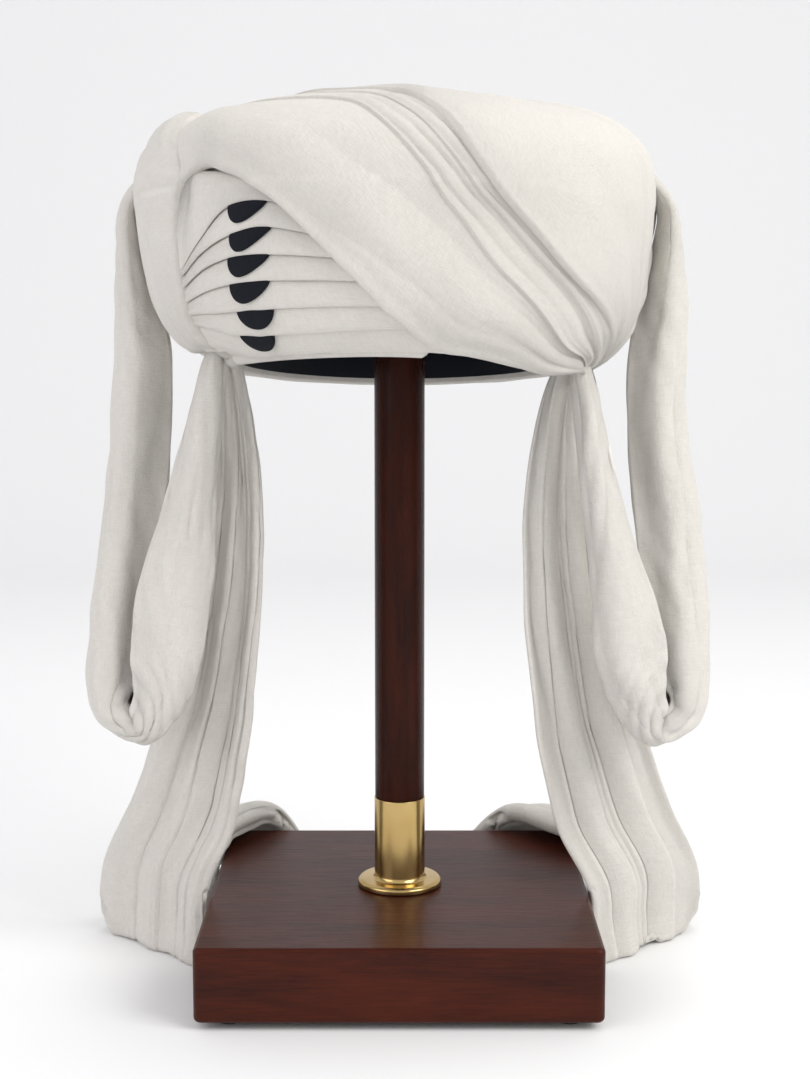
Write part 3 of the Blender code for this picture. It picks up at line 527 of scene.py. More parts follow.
def outside_board(points, half_wall):
    """The points of a sheet's middle, with those too near to the board moved straight out of it, round its
    edges too, and kept off the floor."""
    points, half_wall = points.copy(), np.broadcast_to(half_wall, points.shape[:-1])
    side = np.sign(points[..., 0])
    past = np.stack([side * points[..., 0], points[..., 1], points[..., 2]], axis=-1)
    past = past - (BOARD_HALF, BOARD_HALF, BOARD_TOP)
    deep = past.max(axis=-1, keepdims=True)
    away = np.where(deep < 0, (past == deep) * 1.0, past.clip(0))
    away /= np.linalg.norm(away, axis=-1, keepdims=True).clip(1e-9)
    distance = np.where(deep[..., 0] < 0, deep[..., 0], np.linalg.norm(past.clip(0), axis=-1))
    move = (half_wall + BOARD_CLEARANCE - distance).clip(0)[..., None] * away
    move[..., 0] *= side
    points += move
    points[..., 2] = np.maximum(points[..., 2], half_wall + REST_GAP)
    return points


def quads(number):
    """The four-cornered faces between neighbouring rows and columns of a grid of vertex numbers."""
    corners = [number[:-1, :-1], number[:-1, 1:], number[1:, 1:], number[1:, :-1]]
    return np.stack(corners, axis=-1).reshape(-1, 4)


def flat_places(along, across):
    """The uv place in metres of each point of a grid, from the distances along its columns and across its
    rows."""
    return np.stack(np.broadcast_arrays(along[None, :], across[:, None]), axis=-1).reshape(-1, 2)


def fan_faces(centre, ring, backwards):
    """Triangles from a middle point to each side of a closed ring."""
    after = np.roll(ring, -1)
    first, second = (after, ring) if backwards else (ring, after)
    middle = np.full(len(ring), centre)
    return np.stack([middle, first, second], axis=-1)


def add_piece(name, points, faces, uv, finish, replaced, sharp_degrees=None):
    """Links a piece from points, faces and one uv place in metres for each point. Faces that point inwards,
    by the sign of the volume that they close, are all turned round."""
    corners = [np.asarray(part) for part in faces]
    three = np.concatenate([np.concatenate([f[:, [0, 1, 2]], f[:, [0, 2, 3]]]) if f.shape[1] == 4 else f
                            for f in corners])
    a, b, c = (points[three[:, k]] for k in range(3))
    if (a * np.cross(b, c)).sum() < 0:
        corners = [f[:, ::-1] for f in corners]
    mesh = bpy.data.meshes.new(name)
    mesh.from_pydata(points.tolist(), [], [face for part in corners for face in part.tolist()])
    number = np.zeros(len(mesh.loops), np.int32)
    mesh.loops.foreach_get("vertex_index", number)
    layer = mesh.uv_layers.new(name="cloth")
    layer.data.foreach_set("uv", np.asarray(uv, np.float32)[number].ravel())
    mesh.shade_smooth()
    if sharp_degrees:
        mesh.set_sharp_from_angle(angle=math.radians(sharp_degrees))
    mesh.materials.append(finish)
    made = bpy.data.objects.new(name, mesh)
    bpy.context.scene.collection.objects.link(made)
    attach(made, BODY)
    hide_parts(*replaced)
    return made


def laid_cloth(name, turn, climb, outer, inner, finish, replaced):
    """A closed sheet laid on the crown, between an outer and an inner distance from the bare form."""
    return cloth_shell(name, crown(turn, climb, outer), crown(turn, climb, inner), finish, replaced)


def cloth_shell(name, outer, inner, finish, replaced):
    """A closed sheet between two grids of the same size: its section is carried round outer and inner rows
    as one closed strip, and the first and last columns are closed between them."""
    rows, columns = outer.shape[:2]
    number = np.arange(rows * columns).reshape(rows, columns)
    under = number + rows * columns
    round_it = np.vstack([number, under[::-1], number[:1]])
    start = np.stack([under[:, 0], number[:, 0]], axis=1)
    end = np.stack([number[:, -1], under[:, -1]], axis=1)
    along, across = run_along(outer, 1).mean(axis=0), run_along(outer, 0).mean(axis=1)
    uv = flat_places(along, across)
    points = np.concatenate([outer.reshape(-1, 3), inner.reshape(-1, 3)])
    faces = [quads(round_it), quads(start), quads(end)]
    return add_piece(name, points, faces, np.concatenate([uv, uv]), finish, replaced)


def closed_rings(name, rings, top, bottom, finish, replaced, sharp_degrees=None):
    """A closed body from a stack of rings, with a point at each end."""
    rows, columns = rings.shape[:2]
    number = np.arange(rows * columns).reshape(rows, columns)
    wrapped = np.hstack([number, number[:, :1]])
    points = np.concatenate([rings.reshape(-1, 3), [top, bottom]])
    high, low = rows * columns, rows * columns + 1
    faces = [quads(wrapped), fan_faces(high, number[0], True), fan_faces(low, number[-1], False)]
    closed = np.concatenate([rings, rings[:, :1]], axis=1)
    along, across = run_along(closed, 1)[:, :-1].mean(axis=0), run_along(rings, 0).mean(axis=1)
    uv = np.concatenate([flat_places(along, across), [(0, 0), (0, across[-1])]])
    return add_piece(name, points, faces, uv, finish, replaced, sharp_degrees)


def thick_sheet(name, middle, wall, finish, replaced):
    """A closed sheet of cloth with its wall half to each side of the middle grid, thinned round its free
    edges."""
    half = np.broadcast_to(np.asarray(wall, float), middle.shape[:2]) / 2
    along, across = run_along(middle, 0), run_along(middle, 1)
    to_side, to_end = np.minimum(across, across[:, -1:] - across), np.minimum(along, along[-1:] - along)
    edge = rounded(to_side + SHEET_EDGE, half) * rounded(to_end + SHEET_EDGE, half)
    normal = grid_normal(middle) * (half * edge)[..., None]
    return cloth_shell(name, middle + normal, middle - normal, finish, replaced)


def softened(profile, radius, steps=4):
    """An outline with each inner corner cut back by radius, or by a third of its shorter side, and rounded:
    a quadratic curve from side to side."""
    profile = np.asarray(profile, float)
    made = [profile[:1]]
    for before, corner, after in zip(profile, profile[1:], profile[2:], strict=False):
        back, on = before - corner, after - corner
        cut = min(radius, np.linalg.norm(back) / 3, np.linalg.norm(on) / 3)
        first, last = corner + back / np.linalg.norm(back) * cut, corner + on / np.linalg.norm(on) * cut
        u = np.linspace(0, 1, steps)[:, None]
        made.append(first * (1 - u) ** 2 + corner * 2 * u * (1 - u) + last * u**2)
    return np.vstack([*made, profile[-1:]])


def lathe(outline, sides, middle=(0, 0)):
    """The rings of an outline of radius and height carried round the axis at middle."""
    angle = np.arange(sides) * 2 * math.pi / sides
    radius, height = outline[:, :1], outline[:, 1:]
    return np.stack([middle[0] + radius * np.cos(angle), middle[1] + radius * np.sin(angle),
                     height * np.ones(sides)], axis=-1)


def turned(name, profile, sides, radius, finish, replaced, middle=(0, 0)):
    """A turned body: the softened outline of radius and height carried round the axis at middle. Its ends
    lie on the axis."""
    rings = lathe(softened(profile, radius)[1:-1], sides, middle)
    top, bottom = (*middle, profile[0][1]), (*middle, profile[-1][1])
    return closed_rings(name, rings, top, bottom, finish, replaced, sharp_degrees=50)


def add_node(tree, kind, place, inputs=None, **settings):
    """One shader node with its inputs, by name or number: a value, or the output socket that feeds it."""
    made = tree.nodes.new(kind)
    made.location = place
    for key, value in settings.items():
        setattr(made, key, value)
    for key, value in (inputs or {}).items():
        if isinstance(value, bpy.types.NodeSocket):
            tree.links.new(value, made.inputs[key])
        else:
            made.inputs[key].default_value = value
    return made


def new_group(name, inputs, outputs):
    """A shader group with float or vector sockets, with its input and output nodes."""
    kinds = {"F": "NodeSocketFloat", "V": "NodeSocketVector"}
    group = bpy.data.node_groups.new(name, "ShaderNodeTree")
    for socket, kind, value in inputs:
        made = group.interface.new_socket(socket, in_out="INPUT", socket_type=kinds[kind])
        if value is not None:
            made.default_value = value
    for socket, kind in outputs:
        group.interface.new_socket(socket, in_out="OUTPUT", socket_type=kinds[kind])
    return group, add_node(group, "NodeGroupInput", (-900, 0)), add_node(group, "NodeGroupOutput", (700, 0))


def math_node(tree, operation, place, *values, clamp=False):
    """A Math node's output."""
    inputs = dict(enumerate(values))
    return add_node(tree, "ShaderNodeMath", place, inputs, operation=operation, use_clamp=clamp).outputs[0]


def noise_node(tree, place, vector, scale, detail, **more):
    """A Noise Texture's value. With a W among its other inputs it is one of many patterns, told apart by
    W."""
    inputs = {"Vector": vector, "Scale": scale, "Detail": detail, **more}
    dimensions = "4D" if "W" in more else "3D"
    return add_node(tree, "ShaderNodeTexNoise", place, inputs, noise_dimensions=dimensions).outputs[0]


def stretch_node(tree, place, vector, factors):
    """A vector with each of its parts multiplied by its own factor."""
    inputs = {0: vector, 1: factors}
    return add_node(tree, "ShaderNodeVectorMath", place, inputs, operation="MULTIPLY").outputs[0]


def spread_node(tree, place, value, low, high):
    """A value with the part from low to high spread over 0 to 1."""
    return add_node(tree, "ShaderNodeMapRange", place, {0: value, 1: low, 2: high}).outputs[0]


def mix_node(tree, place, share, first, second):
    """The first colour, or the second where share is 1."""
    inputs = {0: share, 6: (*first, 1.0), 7: (*second, 1.0)}
    return add_node(tree, "ShaderNodeMix", place, inputs, data_type="RGBA").outputs[2]


def raised_node(tree, place, strength, distance, height):
    """The normal of a surface raised by a height."""
    inputs = {"Strength": strength, "Distance": distance, "Height": height}
    return add_node(tree, "ShaderNodeBump", place, inputs).outputs[0]


def feed_shader(tree, shader, colour, roughness, normal=None):
    """Feeds what changes over the surface to the Principled shader."""
    tree.links.new(colour, shader.inputs["Base Color"])
    tree.links.new(roughness, shader.inputs["Roughness"])
    if normal:
        tree.links.new(normal, shader.inputs["Normal"])


def weave_group():
    """Woven cotton from a uv place in metres: plain weave threads, thicker slubs along both thread
    directions, and the soft cloudiness of hand washed cloth."""
    found = bpy.data.node_groups.get("Woven cotton")
    if found:
        return found
    group, given, result = new_group(
        "Woven cotton",
        [("Vector", "V", None), ("Thread Pitch", "F", 0.0008), ("Slub Length", "F", 0.006),
         ("Seed", "F", 0.0)],
        [("Height", "F"), ("Slubs", "F"), ("Cloud", "F")])
    parts = add_node(group, "ShaderNodeSeparateXYZ", (-700, 100), {0: given.outputs["Vector"]})
    turns = math_node(group, "DIVIDE", (-700, -100), 2 * math.pi, given.outputs["Thread Pitch"])
    waves = [math_node(group, "SINE", (-300, 200 - 120 * k), math_node(
        group, "MULTIPLY", (-500, 200 - 120 * k), parts.outputs[k], turns)) for k in (0, 1)]
    plain = math_node(group, "MULTIPLY", (-100, 150), *waves)
    per_slub = math_node(group, "DIVIDE", (-700, -250), 1.0, given.outputs["Slub Length"])
    slubs = []
    for k, stretch in enumerate(((1.0, 7.0, 1.0), (7.0, 1.0, 1.0))):
        scaled = stretch_node(group, (-500, -250 - 200 * k), given.outputs["Vector"], stretch)
        slubs.append(noise_node(group, (-300, -250 - 200 * k), scaled, per_slub, 3.0, W=given.outputs["Seed"],
                                Roughness=0.6))
    both = math_node(group, "ADD", (-100, -300), *slubs)
    cloud = noise_node(group, (-100, -600), given.outputs["Vector"], 22.0, 2.0, W=given.outputs["Seed"])
    crinkle = noise_node(group, (-100, -800), given.outputs["Vector"], 150.0, 3.0, W=given.outputs["Seed"],
                         Distortion=0.8)
    rough = math_node(group, "MULTIPLY_ADD", (100, -100), crinkle, 2.6, both)
    height = math_node(group, "ADD", (300, 0), math_node(group, "MULTIPLY", (100, 100), plain, 0.35), rough)
    group.links.new(height, result.inputs["Height"])
    group.links.new(math_node(group, "MULTIPLY", (300, -300), both, 0.5), result.inputs["Slubs"])
    group.links.new(cloud, result.inputs["Cloud"])
    return group


def grain_group():
    """Wood grain from a place in metres, its length along X: long fine pores over slow bands of darker
    wood."""
    found = bpy.data.node_groups.get("Wood grain")
    if found:
        return found
    group, given, result = new_group(
        "Wood grain", [("Vector", "V", None), ("Band Size", "F", 0.02), ("Pore Size", "F", 0.0012)],
        [("Bands", "F"), ("Pores", "F"), ("Height", "F")])
    made = {}
    layers = (("Band Size", 0.16, 3.0, 0.55), ("Pore Size", 0.05, 4.0, 0.7))
    for k, (key, stretch, detail, rough) in enumerate(layers):
        scaled = stretch_node(group, (-500, -300 * k), given.outputs["Vector"], (stretch, 1.0, 1.0))
        scale = math_node(group, "DIVIDE", (-500, -150 - 300 * k), 1.0, given.outputs[key])
        made[key] = noise_node(group, (-300, -300 * k), scaled, scale, detail, Roughness=rough,
                               Distortion=0.3)
    bands = spread_node(group, (0, 100), made["Band Size"], 0.32, 0.68)
    pores = spread_node(group, (0, -200), made["Pore Size"], 0.38, 0.60)
    group.links.new(bands, result.inputs["Bands"])
    group.links.new(pores, result.inputs["Pores"])
    group.links.new(pores, result.inputs["Height"])
    return group


def new_material(name, colour):
    """A material with an empty Principled shader, and its tree and shader."""
    made = bpy.data.materials.new(name)
    made.use_nodes = True
    made.diffuse_color = (*colour, 1.0)
    return made, made.node_tree, made.node_tree.nodes["Principled BSDF"]


def cloth_material(name, colour, hollow, pitch, relief, slub, seed, rough=0.82, sheen=0.12):
    """Cotton or felt: the weave group's slubs and clouds move the colour, its height is the bump."""
    found = bpy.data.materials.get(name)
    if found:
        return found
    made, tree, shader = new_material(name, colour)
    place = add_node(tree, "ShaderNodeUVMap", (-1100, 0), uv_map="cloth").outputs[0]
    group = add_node(tree, "ShaderNodeGroup", (-900, 0), node_tree=weave_group())
    tree.links.new(place, group.inputs["Vector"])
    for key, value in (("Thread Pitch", pitch), ("Slub Length", slub), ("Seed", seed)):
        group.inputs[key].default_value = value
    mask = spread_node(tree, (-650, 250), group.outputs["Slubs"], 0.40, 0.62)
    half_mask = math_node(tree, "MULTIPLY", (-550, 0), mask, 0.5)
    clouds = math_node(tree, "MULTIPLY_ADD", (-450, 120), group.outputs["Cloud"], 0.5, half_mask, clamp=True)
    mixed = mix_node(tree, (-250, 200), clouds, hollow, colour)
    raised = raised_node(tree, (-250, -250), 1.0, relief, group.outputs["Height"])
    roughness = math_node(tree, "MULTIPLY_ADD", (-250, 0), mask, 0.08, rough)
    feed_shader(tree, shader, mixed, roughness, raised)
    shader.inputs["Sheen Weight"].default_value = sheen
    shader.inputs["Specular IOR Level"].default_value = 0.25
    return made


def white_cloth(context, seed):
    """The white cotton, with its own run of slubs for each piece."""
    cloth = context.scene.pagri_cloth
    return cloth_material(f"White cotton {seed}", tuple(cloth.colour), tuple(cloth.hollow_colour),
                          cloth.thread_pitch, cloth.weave_relief, 0.0045, float(seed))


def dark_felt(context, seed):
    """The navy black felt of the tabs and the lining."""
    cloth = context.scene.pagri_cloth
    dark = tuple(cloth.dark_colour)
    return cloth_material(f"Dark felt {seed}", dark, tuple(0.55 * c for c in dark), 0.0006, 0.00018, 0.0016,
                          float(seed), 0.9, 0.02)


def wood_material(name, colour, dark, turn, band, pore, rough, coat):
    """Polished wood: the grain group's bands and pores mix the two colours under a thin clear finish."""
    found = bpy.data.materials.get(name)
    if found:
        return found
    made, tree, shader = new_material(name, colour)
    place = add_node(tree, "ShaderNodeTexCoord", (-1300, 0)).outputs["Object"]
    aligned = add_node(tree, "ShaderNodeMapping", (-1100, 0), {"Vector": place, "Rotation": turn})
    group = add_node(tree, "ShaderNodeGroup", (-900, 0), node_tree=grain_group())
    tree.links.new(aligned.outputs[0], group.inputs["Vector"])
    group.inputs["Band Size"].default_value, group.inputs["Pore Size"].default_value = band, pore
    pores = math_node(tree, "MULTIPLY", (-700, -50), group.outputs["Pores"], 0.35)
    share = math_node(tree, "MULTIPLY_ADD", (-600, 100), group.outputs["Bands"], 0.65, pores, clamp=True)
    mixed = mix_node(tree, (-350, 200), share, dark, colour)
    roughness = math_node(tree, "MULTIPLY_ADD", (-350, 0), group.outputs["Pores"], -0.08, rough + 0.08)
    raised = raised_node(tree, (-350, -250), 0.35, 0.0001, group.outputs["Height"])
    feed_shader(tree, shader, mixed, roughness, raised)
    shader.inputs["Specular IOR Level"].default_value = 0.08
    shader.inputs["Coat Weight"].default_value = coat
    shader.inputs["Coat Roughness"].default_value = 0.22
    return made


def brass_material(colour):
    """Turned brass: fine lathe lines round it in the bump and the roughness, and a slow tarnish in the
    colour."""
    made, tree, shader = new_material("Turned brass", colour)
    place = add_node(tree, "ShaderNodeTexCoord", (-1100, 0)).outputs["Object"]
    fine = stretch_node(tree, (-900, 0), place, (0.05, 0.05, 1.0))
    lines = noise_node(tree, (-700, 0), fine, 2600.0, 2.0)
    tarnish = noise_node(tree, (-700, 300), place, 30.0, 2.0)
    share = spread_node(tree, (-500, 300), tarnish, 0.35, 0.7)
    dull = tuple(c * k for c, k in zip(colour, (0.80, 0.76, 0.66), strict=True))
    mixed = mix_node(tree, (-250, 250), share, colour, dull)
    roughness = math_node(tree, "MULTIPLY_ADD", (-250, 0), lines, 0.06, 0.18)
    raised = raised_node(tree, (-250, -250), 0.10, 0.00004, lines)
    feed_shader(tree, shader, mixed, roughness, raised)
    shader.inputs["Metallic"].default_value = 1.0
    return made


def rubber_material():
    """Black rubber with a fine mottle."""
    made, tree, shader = new_material("Black rubber", (0.02, 0.02, 0.02))
    place = add_node(tree, "ShaderNodeTexCoord", (-900, 0)).outputs["Object"]
    mottle = noise_node(tree, (-700, 0), place, 1500.0, 2.0)
    mixed = mix_node(tree, (-300, 200), mottle, (0.012, 0.012, 0.013), (0.03, 0.03, 0.031))
    feed_shader(tree, shader, mixed, math_node(tree, "MULTIPLY_ADD", (-300, 0), mottle, 0.2, 0.55))
    return made


def stand_woods(context):
    """The board's, the pole's and the hidden block's wood."""
    stand = context.scene.pagri_stand
    upright = (0.0, math.pi / 2, 0.0)
    return (
        wood_material("Board wood", tuple(stand.board_colour), tuple(stand.board_dark),
                      (0.0, 0.0, 0.0), 0.016, 0.0009, 0.30, 0.10),
        wood_material("Pole wood", tuple(stand.pole_colour), tuple(stand.pole_dark),
                      upright, 0.010, 0.0010, 0.22, 0.03),
        wood_material("Plain wood", (0.42, 0.29, 0.17), (0.30, 0.19, 0.10), upright, 0.012, 0.0010, 0.5, 0.0),
    )


def square_ring(half, inset, height, steps=7):
    """A level square with rounded corners, set in from a half side, with a point close to each end of its
    arcs so that its sides shade flat."""
    angle = np.linspace(0, math.pi / 2, steps)
    arc = np.stack([np.cos(angle), np.sin(angle)], axis=-1) * (BOARD_CORNER - inset) + half - BOARD_CORNER
    arc = np.vstack([arc[0] - (0, FLAT_MARGIN), arc, arc[-1] - (FLAT_MARGIN, 0)])
    quarter = np.array([[0, 1], [-1, 0]])
    ring = np.vstack([arc @ np.linalg.matrix_power(quarter, k) for k in range(4)])
    return np.column_stack([ring, np.full(len(ring), height)])


class PAGRI_OT_stand(bpy.types.Operator):
    """Board, feet, socket, pole and the hidden block"""

    bl_idname = "pagri.stand"
    bl_label = "Stand"

    def execute(self, context):
        stand = context.scene.pagri_stand
        board_wood, pole_wood, plain_wood = stand_woods(context)
        low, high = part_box("base_board")
        bend = np.linspace(0, math.pi / 2, 7)
        inset, drop = BOARD_EDGE * (1 - np.sin(bend)), BOARD_EDGE * (1 - np.cos(bend))
        flat = BOARD_EDGE + FLAT_MARGIN
        insets = np.concatenate([[flat], inset, [0, 0], inset[::-1], [flat]])
        heights = np.concatenate([
            [high.z], high.z - drop, [high.z - flat, low.z + flat], low.z + drop[::-1], [low.z]])
        rings = np.array([square_ring(high.x, *pair) for pair in zip(insets, heights, strict=True)])
        closed_rings("polished_board", rings, (0, 0, high.z), (0, 0, low.z), board_wood, ["base_board"])
        sides = stand.turned_sides
        rubber = rubber_material()
        for name in ("foot_front_left", "foot_front_right", "foot_back_left", "foot_back_right"):
            low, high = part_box(name)
            middle, radius = (low + high) / 2, (high.x - low.x) / 2
            profile = ((0, high.z), (radius, high.z), (radius, low.z), (0, low.z))
            turned(name + "_pad", profile, 48, 0.0011, rubber, [name], (middle.x, middle.y))
        pole_low, pole_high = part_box("pole")
        socket_low, socket_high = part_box("brass_socket")
        pole_radius, flange = pole_high.x, socket_high.x
        sleeve = pole_radius + SLEEVE_WALL
        seat = socket_high.z + REST_GAP
        spigot = sleeve - SPIGOT_INSET
        profile = ((0, pole_high.z), (pole_radius, pole_high.z), (pole_radius, seat), (spigot, seat),
                   (spigot, pole_low.z), (0, pole_low.z))
        turned("turned_pole", profile, sides, 0.0008, pole_wood, ["pole"])
        bore, foot = sleeve - BORE_INSET, socket_low.z
        neck = foot + FLANGE_HEIGHT
        outline = softened((
            (bore, foot), (bore, socket_high.z), (sleeve, socket_high.z), (sleeve, neck + FLANGE_ROUND),
            (sleeve + 0.0011, neck), (flange - FLANGE_ROUND, neck - 0.0002), (flange, foot + 0.0026),
            (flange, foot), (bore, foot)), 0.0006, 5)
        rings = lathe(outline, sides)
        number = np.arange(rings.shape[0] * sides).reshape(-1, sides)
        around = np.hstack([number, number[:, :1]])
        uv = flat_places(np.arange(sides) * 2 * math.pi / sides * sleeve, outline[:, 1])
        add_piece("turned_socket", rings.reshape(-1, 3), [quads(np.vstack([around, around[:1]]))], uv,
                  brass_material(tuple(stand.brass_colour)), ["brass_socket"], 40)
        low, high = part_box("head_block")
        dome = [(high.x * share, high.z - BLOCK_DOME * share**2) for share in (0.3, 0.6, 0.85)]
        profile = ((0, high.z), *dome, (high.x, high.z - BLOCK_DOME), (high.x, low.z), (0, low.z))
        turned("turned_head_block", profile, sides, 0.003, plain_wood, ["head_block"])
        return {"FINISHED"}


def lining_ring(turn, share, proud):
    """One ring of the cap inside, at a share of its height from its edge to its top: an upright ellipse
    that rounds over into a flat top."""
    angle = share * math.pi / 2
    radius, height = math.cos(angle) ** (2 / LINING_POWER), math.sin(angle) ** (2 / LINING_POWER)
    base = rim_height(turn) + LINING_LIFT
    return np.stack([
        (OPENING_WIDTH / 2 + proud) * radius * np.sin(turn),
        -(OPENING_DEPTH / 2 + proud) * radius * np.cos(turn),
        base + height * (LINING_TOP + proud - base),
    ], axis=-1)


class PAGRI_OT_lining(bpy.types.Operator):
    """The dark cap inside, with a bound edge"""

    bl_idname = "pagri.lining"
    bl_label = "Lining"

    def execute(self, context):
        turn = np.linspace(0, 2 * math.pi, 193)[:-1]
        shares = 1 - (1 - np.linspace(0, 0.985, 40)) ** 1.6
        binding = LINING_WALL * 0.35
        outside = [lining_ring(turn, share, LINING_WALL + binding * bump(share, 0.03) * (share > 0))
                   for share in shares[::-1]]
        inside = [lining_ring(turn, share, -binding * bump(share - 0.012, 0.03)) for share in shares]
        rings = np.array([*outside, *inside])
        made = closed_rings("lining_cap", rings, (0, 0, LINING_TOP + LINING_WALL), (0, 0, LINING_TOP),
                            dark_felt(context, 7), ["lining"])
        return {"FINISHED"}


def layer_relief(turn, climb, layers):
    """How far the wound layers stand out: each turn of cloth overlaps the one above it as it winds up round
    the crown, so its lower edge stands out as a rounded step and its upper part sinks away under the
    next."""
    phase = layers * climb / 0.86 + turn / (2 * math.pi) + 0.16 * np.sin(turn + 1.0) + 0.10 * np.sin(2 * turn)
    part = phase - np.floor(phase)
    step = rounded(part, 0.10) * (1 - smooth((part - 0.15) / 0.85)) + 0.22 * bump(part - 0.14, 0.07)
    calm = smooth((climb - 0.03) / 0.05) * smooth((0.93 - climb) / 0.12)
    return step * calm


class PAGRI_OT_crown(bpy.types.Operator):
    """The wound body of the pagri, hollow for the lining, with its rolled hem"""

    bl_idname = "pagri.crown"
    bl_label = "Wound crown"

    def execute(self, context):
        cloth = context.scene.pagri_cloth
        turn = np.linspace(0, 2 * math.pi, 337)[:-1]
        climb = 1 - np.linspace(0.006, 1, 130)
        across = climb[:, None] * CROWN_RUN
        around, up = np.broadcast_arrays(turn[None, :], climb[:, None])
        above_hem = smooth(climb / 0.2)[:, None]
        proud = -HEM_INSET - (CROWN_INSET - HEM_INSET) * above_hem
        relief = LAYER_RELIEF * layer_relief(around, up, cloth.layers)
        drawn = np.sin(22 * math.pi * climb[:, None] + 2.5 * np.sin(turn)[None, :])
        drawn = DRAWN_RELIEF * drawn * above_hem
        right, back = (part[None, :] * 0.13 for part in (np.cos(turn), np.sin(turn)))
        soft = cloth.crumple * 1.4 * crumple(right + across * 0, back + across * 2, 3, 0.05)
        outside = crown(around, up, proud + relief + drawn + soft)
        cavity = LINING_WALL + LAYER_GAP
        low = lining_ring(turn, 0.0, cavity)
        low[:, 2] = rim_height(turn)
        roll = np.linspace(0, math.pi, 12)[1:-1, None, None]
        middle, half = (outside[-1] + low) / 2, (outside[-1] - low) / 2
        hem = middle + half * np.cos(roll) - np.array([0, 0, HEM_DROP + HEM_ROUND]) * np.sin(roll)
        inside = [lining_ring(turn, share, cavity) for share in np.linspace(0, 0.96, 16)]
        rings = np.concatenate([outside, hem, low[None], inside])
        top = crown_point(np.zeros(1), np.ones(1))[0] - (0, 0, CROWN_INSET)
        made = closed_rings("wound_crown", rings, top, (0, 0, LINING_TOP + cavity), white_cloth(context, 1),
                            ["crown_top", *(f"crown_side_{k}" for k in range(1, 9))])
        return {"FINISHED"}


def crease(row, places):
    """Turn and climb along one pleat crease, from the gather to where it goes under the front wrap."""
    turns = (row["gather_turn"], *CREASE_TURNS, row["under_turn"])
    climbs = [row[key] for key in ("gather", "half_way", "tab_left", "tab_right", "under")]
    line = through(list(zip(turns, climbs, strict=True)), places)
    return np.radians(line[:, 0]), line[:, 1].clip(0)


def pleat_rise(down):
    """Share of the rise at each share of the way down a pleat, up to its fullest part."""
    return np.interp(down, *zip(*PLEAT_PROFILE[:6], strict=True))


class PAGRI_OT_pleats(bpy.types.Operator):
    """The pleated front panel, gathered at the left"""

    bl_idname = "pagri.pleats"
    bl_label = "Pleated front"

    def execute(self, context):
        cloth = context.scene.pagri_cloth
        places = np.linspace(0, 1, 168)
        beyond = np.linspace(-0.30, 0, 18)[:-1]
        lines = [crease(dict(zip(PLEAT_COLUMNS, row, strict=True)), places) for row in PLEATS]
        lines = [(np.append(turn[0] + beyond * (turn[30] - turn[0]) / places[30], turn),
                  np.append(climb[0] + beyond * 0.25 * (climb[30] - climb[0]) / places[30], climb))
                 for turn, climb in lines]
        place = np.append(beyond, places)
        profile = through(PLEAT_PROFILE, np.linspace(0, 1, 22))
        full = 0.50 + 0.50 * smooth(place / 0.35)
        turns, climbs, rises = [], [], []
        for number, (upper, lower) in enumerate(zip(lines, lines[1:], strict=False)):
            for down, share in profile:
                gathered = 0.16 * (1 - smooth((place - 0.02) / 0.30)) * np.sin(4 * math.pi * down + number)
                sag = crumple(place * 0.12, number * 0.3 + down * 0.012, 11, 0.02) * 0.06
                turns.append(upper[0] + (lower[0] - upper[0]) * down)
                climbs.append(upper[1] + (lower[1] - upper[1]) * down)
                lifted = share * full + (gathered + sag) * share
                rises.append(PLEAT_TUCK * min(1, share * 8) + PLEAT_RISE * lifted)
        turn, climb, rise = np.array(turns), np.array(climbs), np.array(rises)
        roll = np.linspace(0, 1, 10)[1:, None]
        turn = np.vstack([turn, turn[-1:] + 0 * roll])
        covered = smooth((place - 0.955) / 0.03)
        climb = np.vstack([climb, climb[-1:] * (1 - roll) + (0.040 * covered - 0.022) * roll])
        rise = np.vstack([rise, rise[-1:] + (0.0012 - rise[-1:]) * roll])
        made = laid_cloth("pleated_panel", turn, climb, LAYER_GAP + rise, LAYER_GAP * 0.5,
                          white_cloth(context, 2), ["pleated_front"])
        return {"FINISHED"}


class PAGRI_OT_tabs(bpy.types.Operator):
    """Six domed half moons of dark felt, each let in under one pleat"""

    bl_idname = "pagri.tabs"
    bl_label = "Tabs"

    def execute(self, context):
        cloth = context.scene.pagri_cloth
        side, down = np.linspace(-1, 1, 61), np.linspace(0, 1, 22)[:, None]
        read = np.linspace(0, 1, 200)
        for number, (middle, width, lean) in enumerate(TABS, start=1):
            upper, lower = (dict(zip(PLEAT_COLUMNS, PLEATS[k], strict=True)) for k in (number, number + 1))
            turn = math.radians(middle) + side * TAB_WIDTH * width / CROWN_WIDTH
            top, low = np.interp(turn, *crease(upper, read)), np.interp(turn, *crease(lower, read))
            moon = (1 - (side * 0.985) ** 2) ** 0.48 * (1 - lean * side)
            climb = top - 0.02 * (top - low) - TAB_DEPTH / CROWN_RUN * moon * down
            share = (top - climb) / (top - low)
            base = LAYER_GAP + PLEAT_TUCK + PLEAT_RISE * pleat_rise(share)
            dome = rounded((1 - down) * moon * TAB_DEPTH + 0.0001, TAB_EDGE)
            dome = dome * (0.75 + 0.25 * np.sin(math.pi * down))
            made = laid_cloth(f"felt_tab_{number}", turn, climb, base + TAB_LIFT + cloth.tab_thickness * dome,
                              base - TAB_BED, dark_felt(context, 8), [f"tab_{number}"])
        return {"FINISHED"}


def fan(lines, places, shares):
    """Map points of a fan of cloth: at each place along the lines, each share runs on from line to line."""
    read = np.array([through(line, places) for line in lines])
    whole = np.minimum(np.asarray(shares).astype(int), len(lines) - 2)
    part = (np.asarray(shares) - whole)[:, None, None]
    return read[whole] * (1 - part) + read[whole + 1] * part


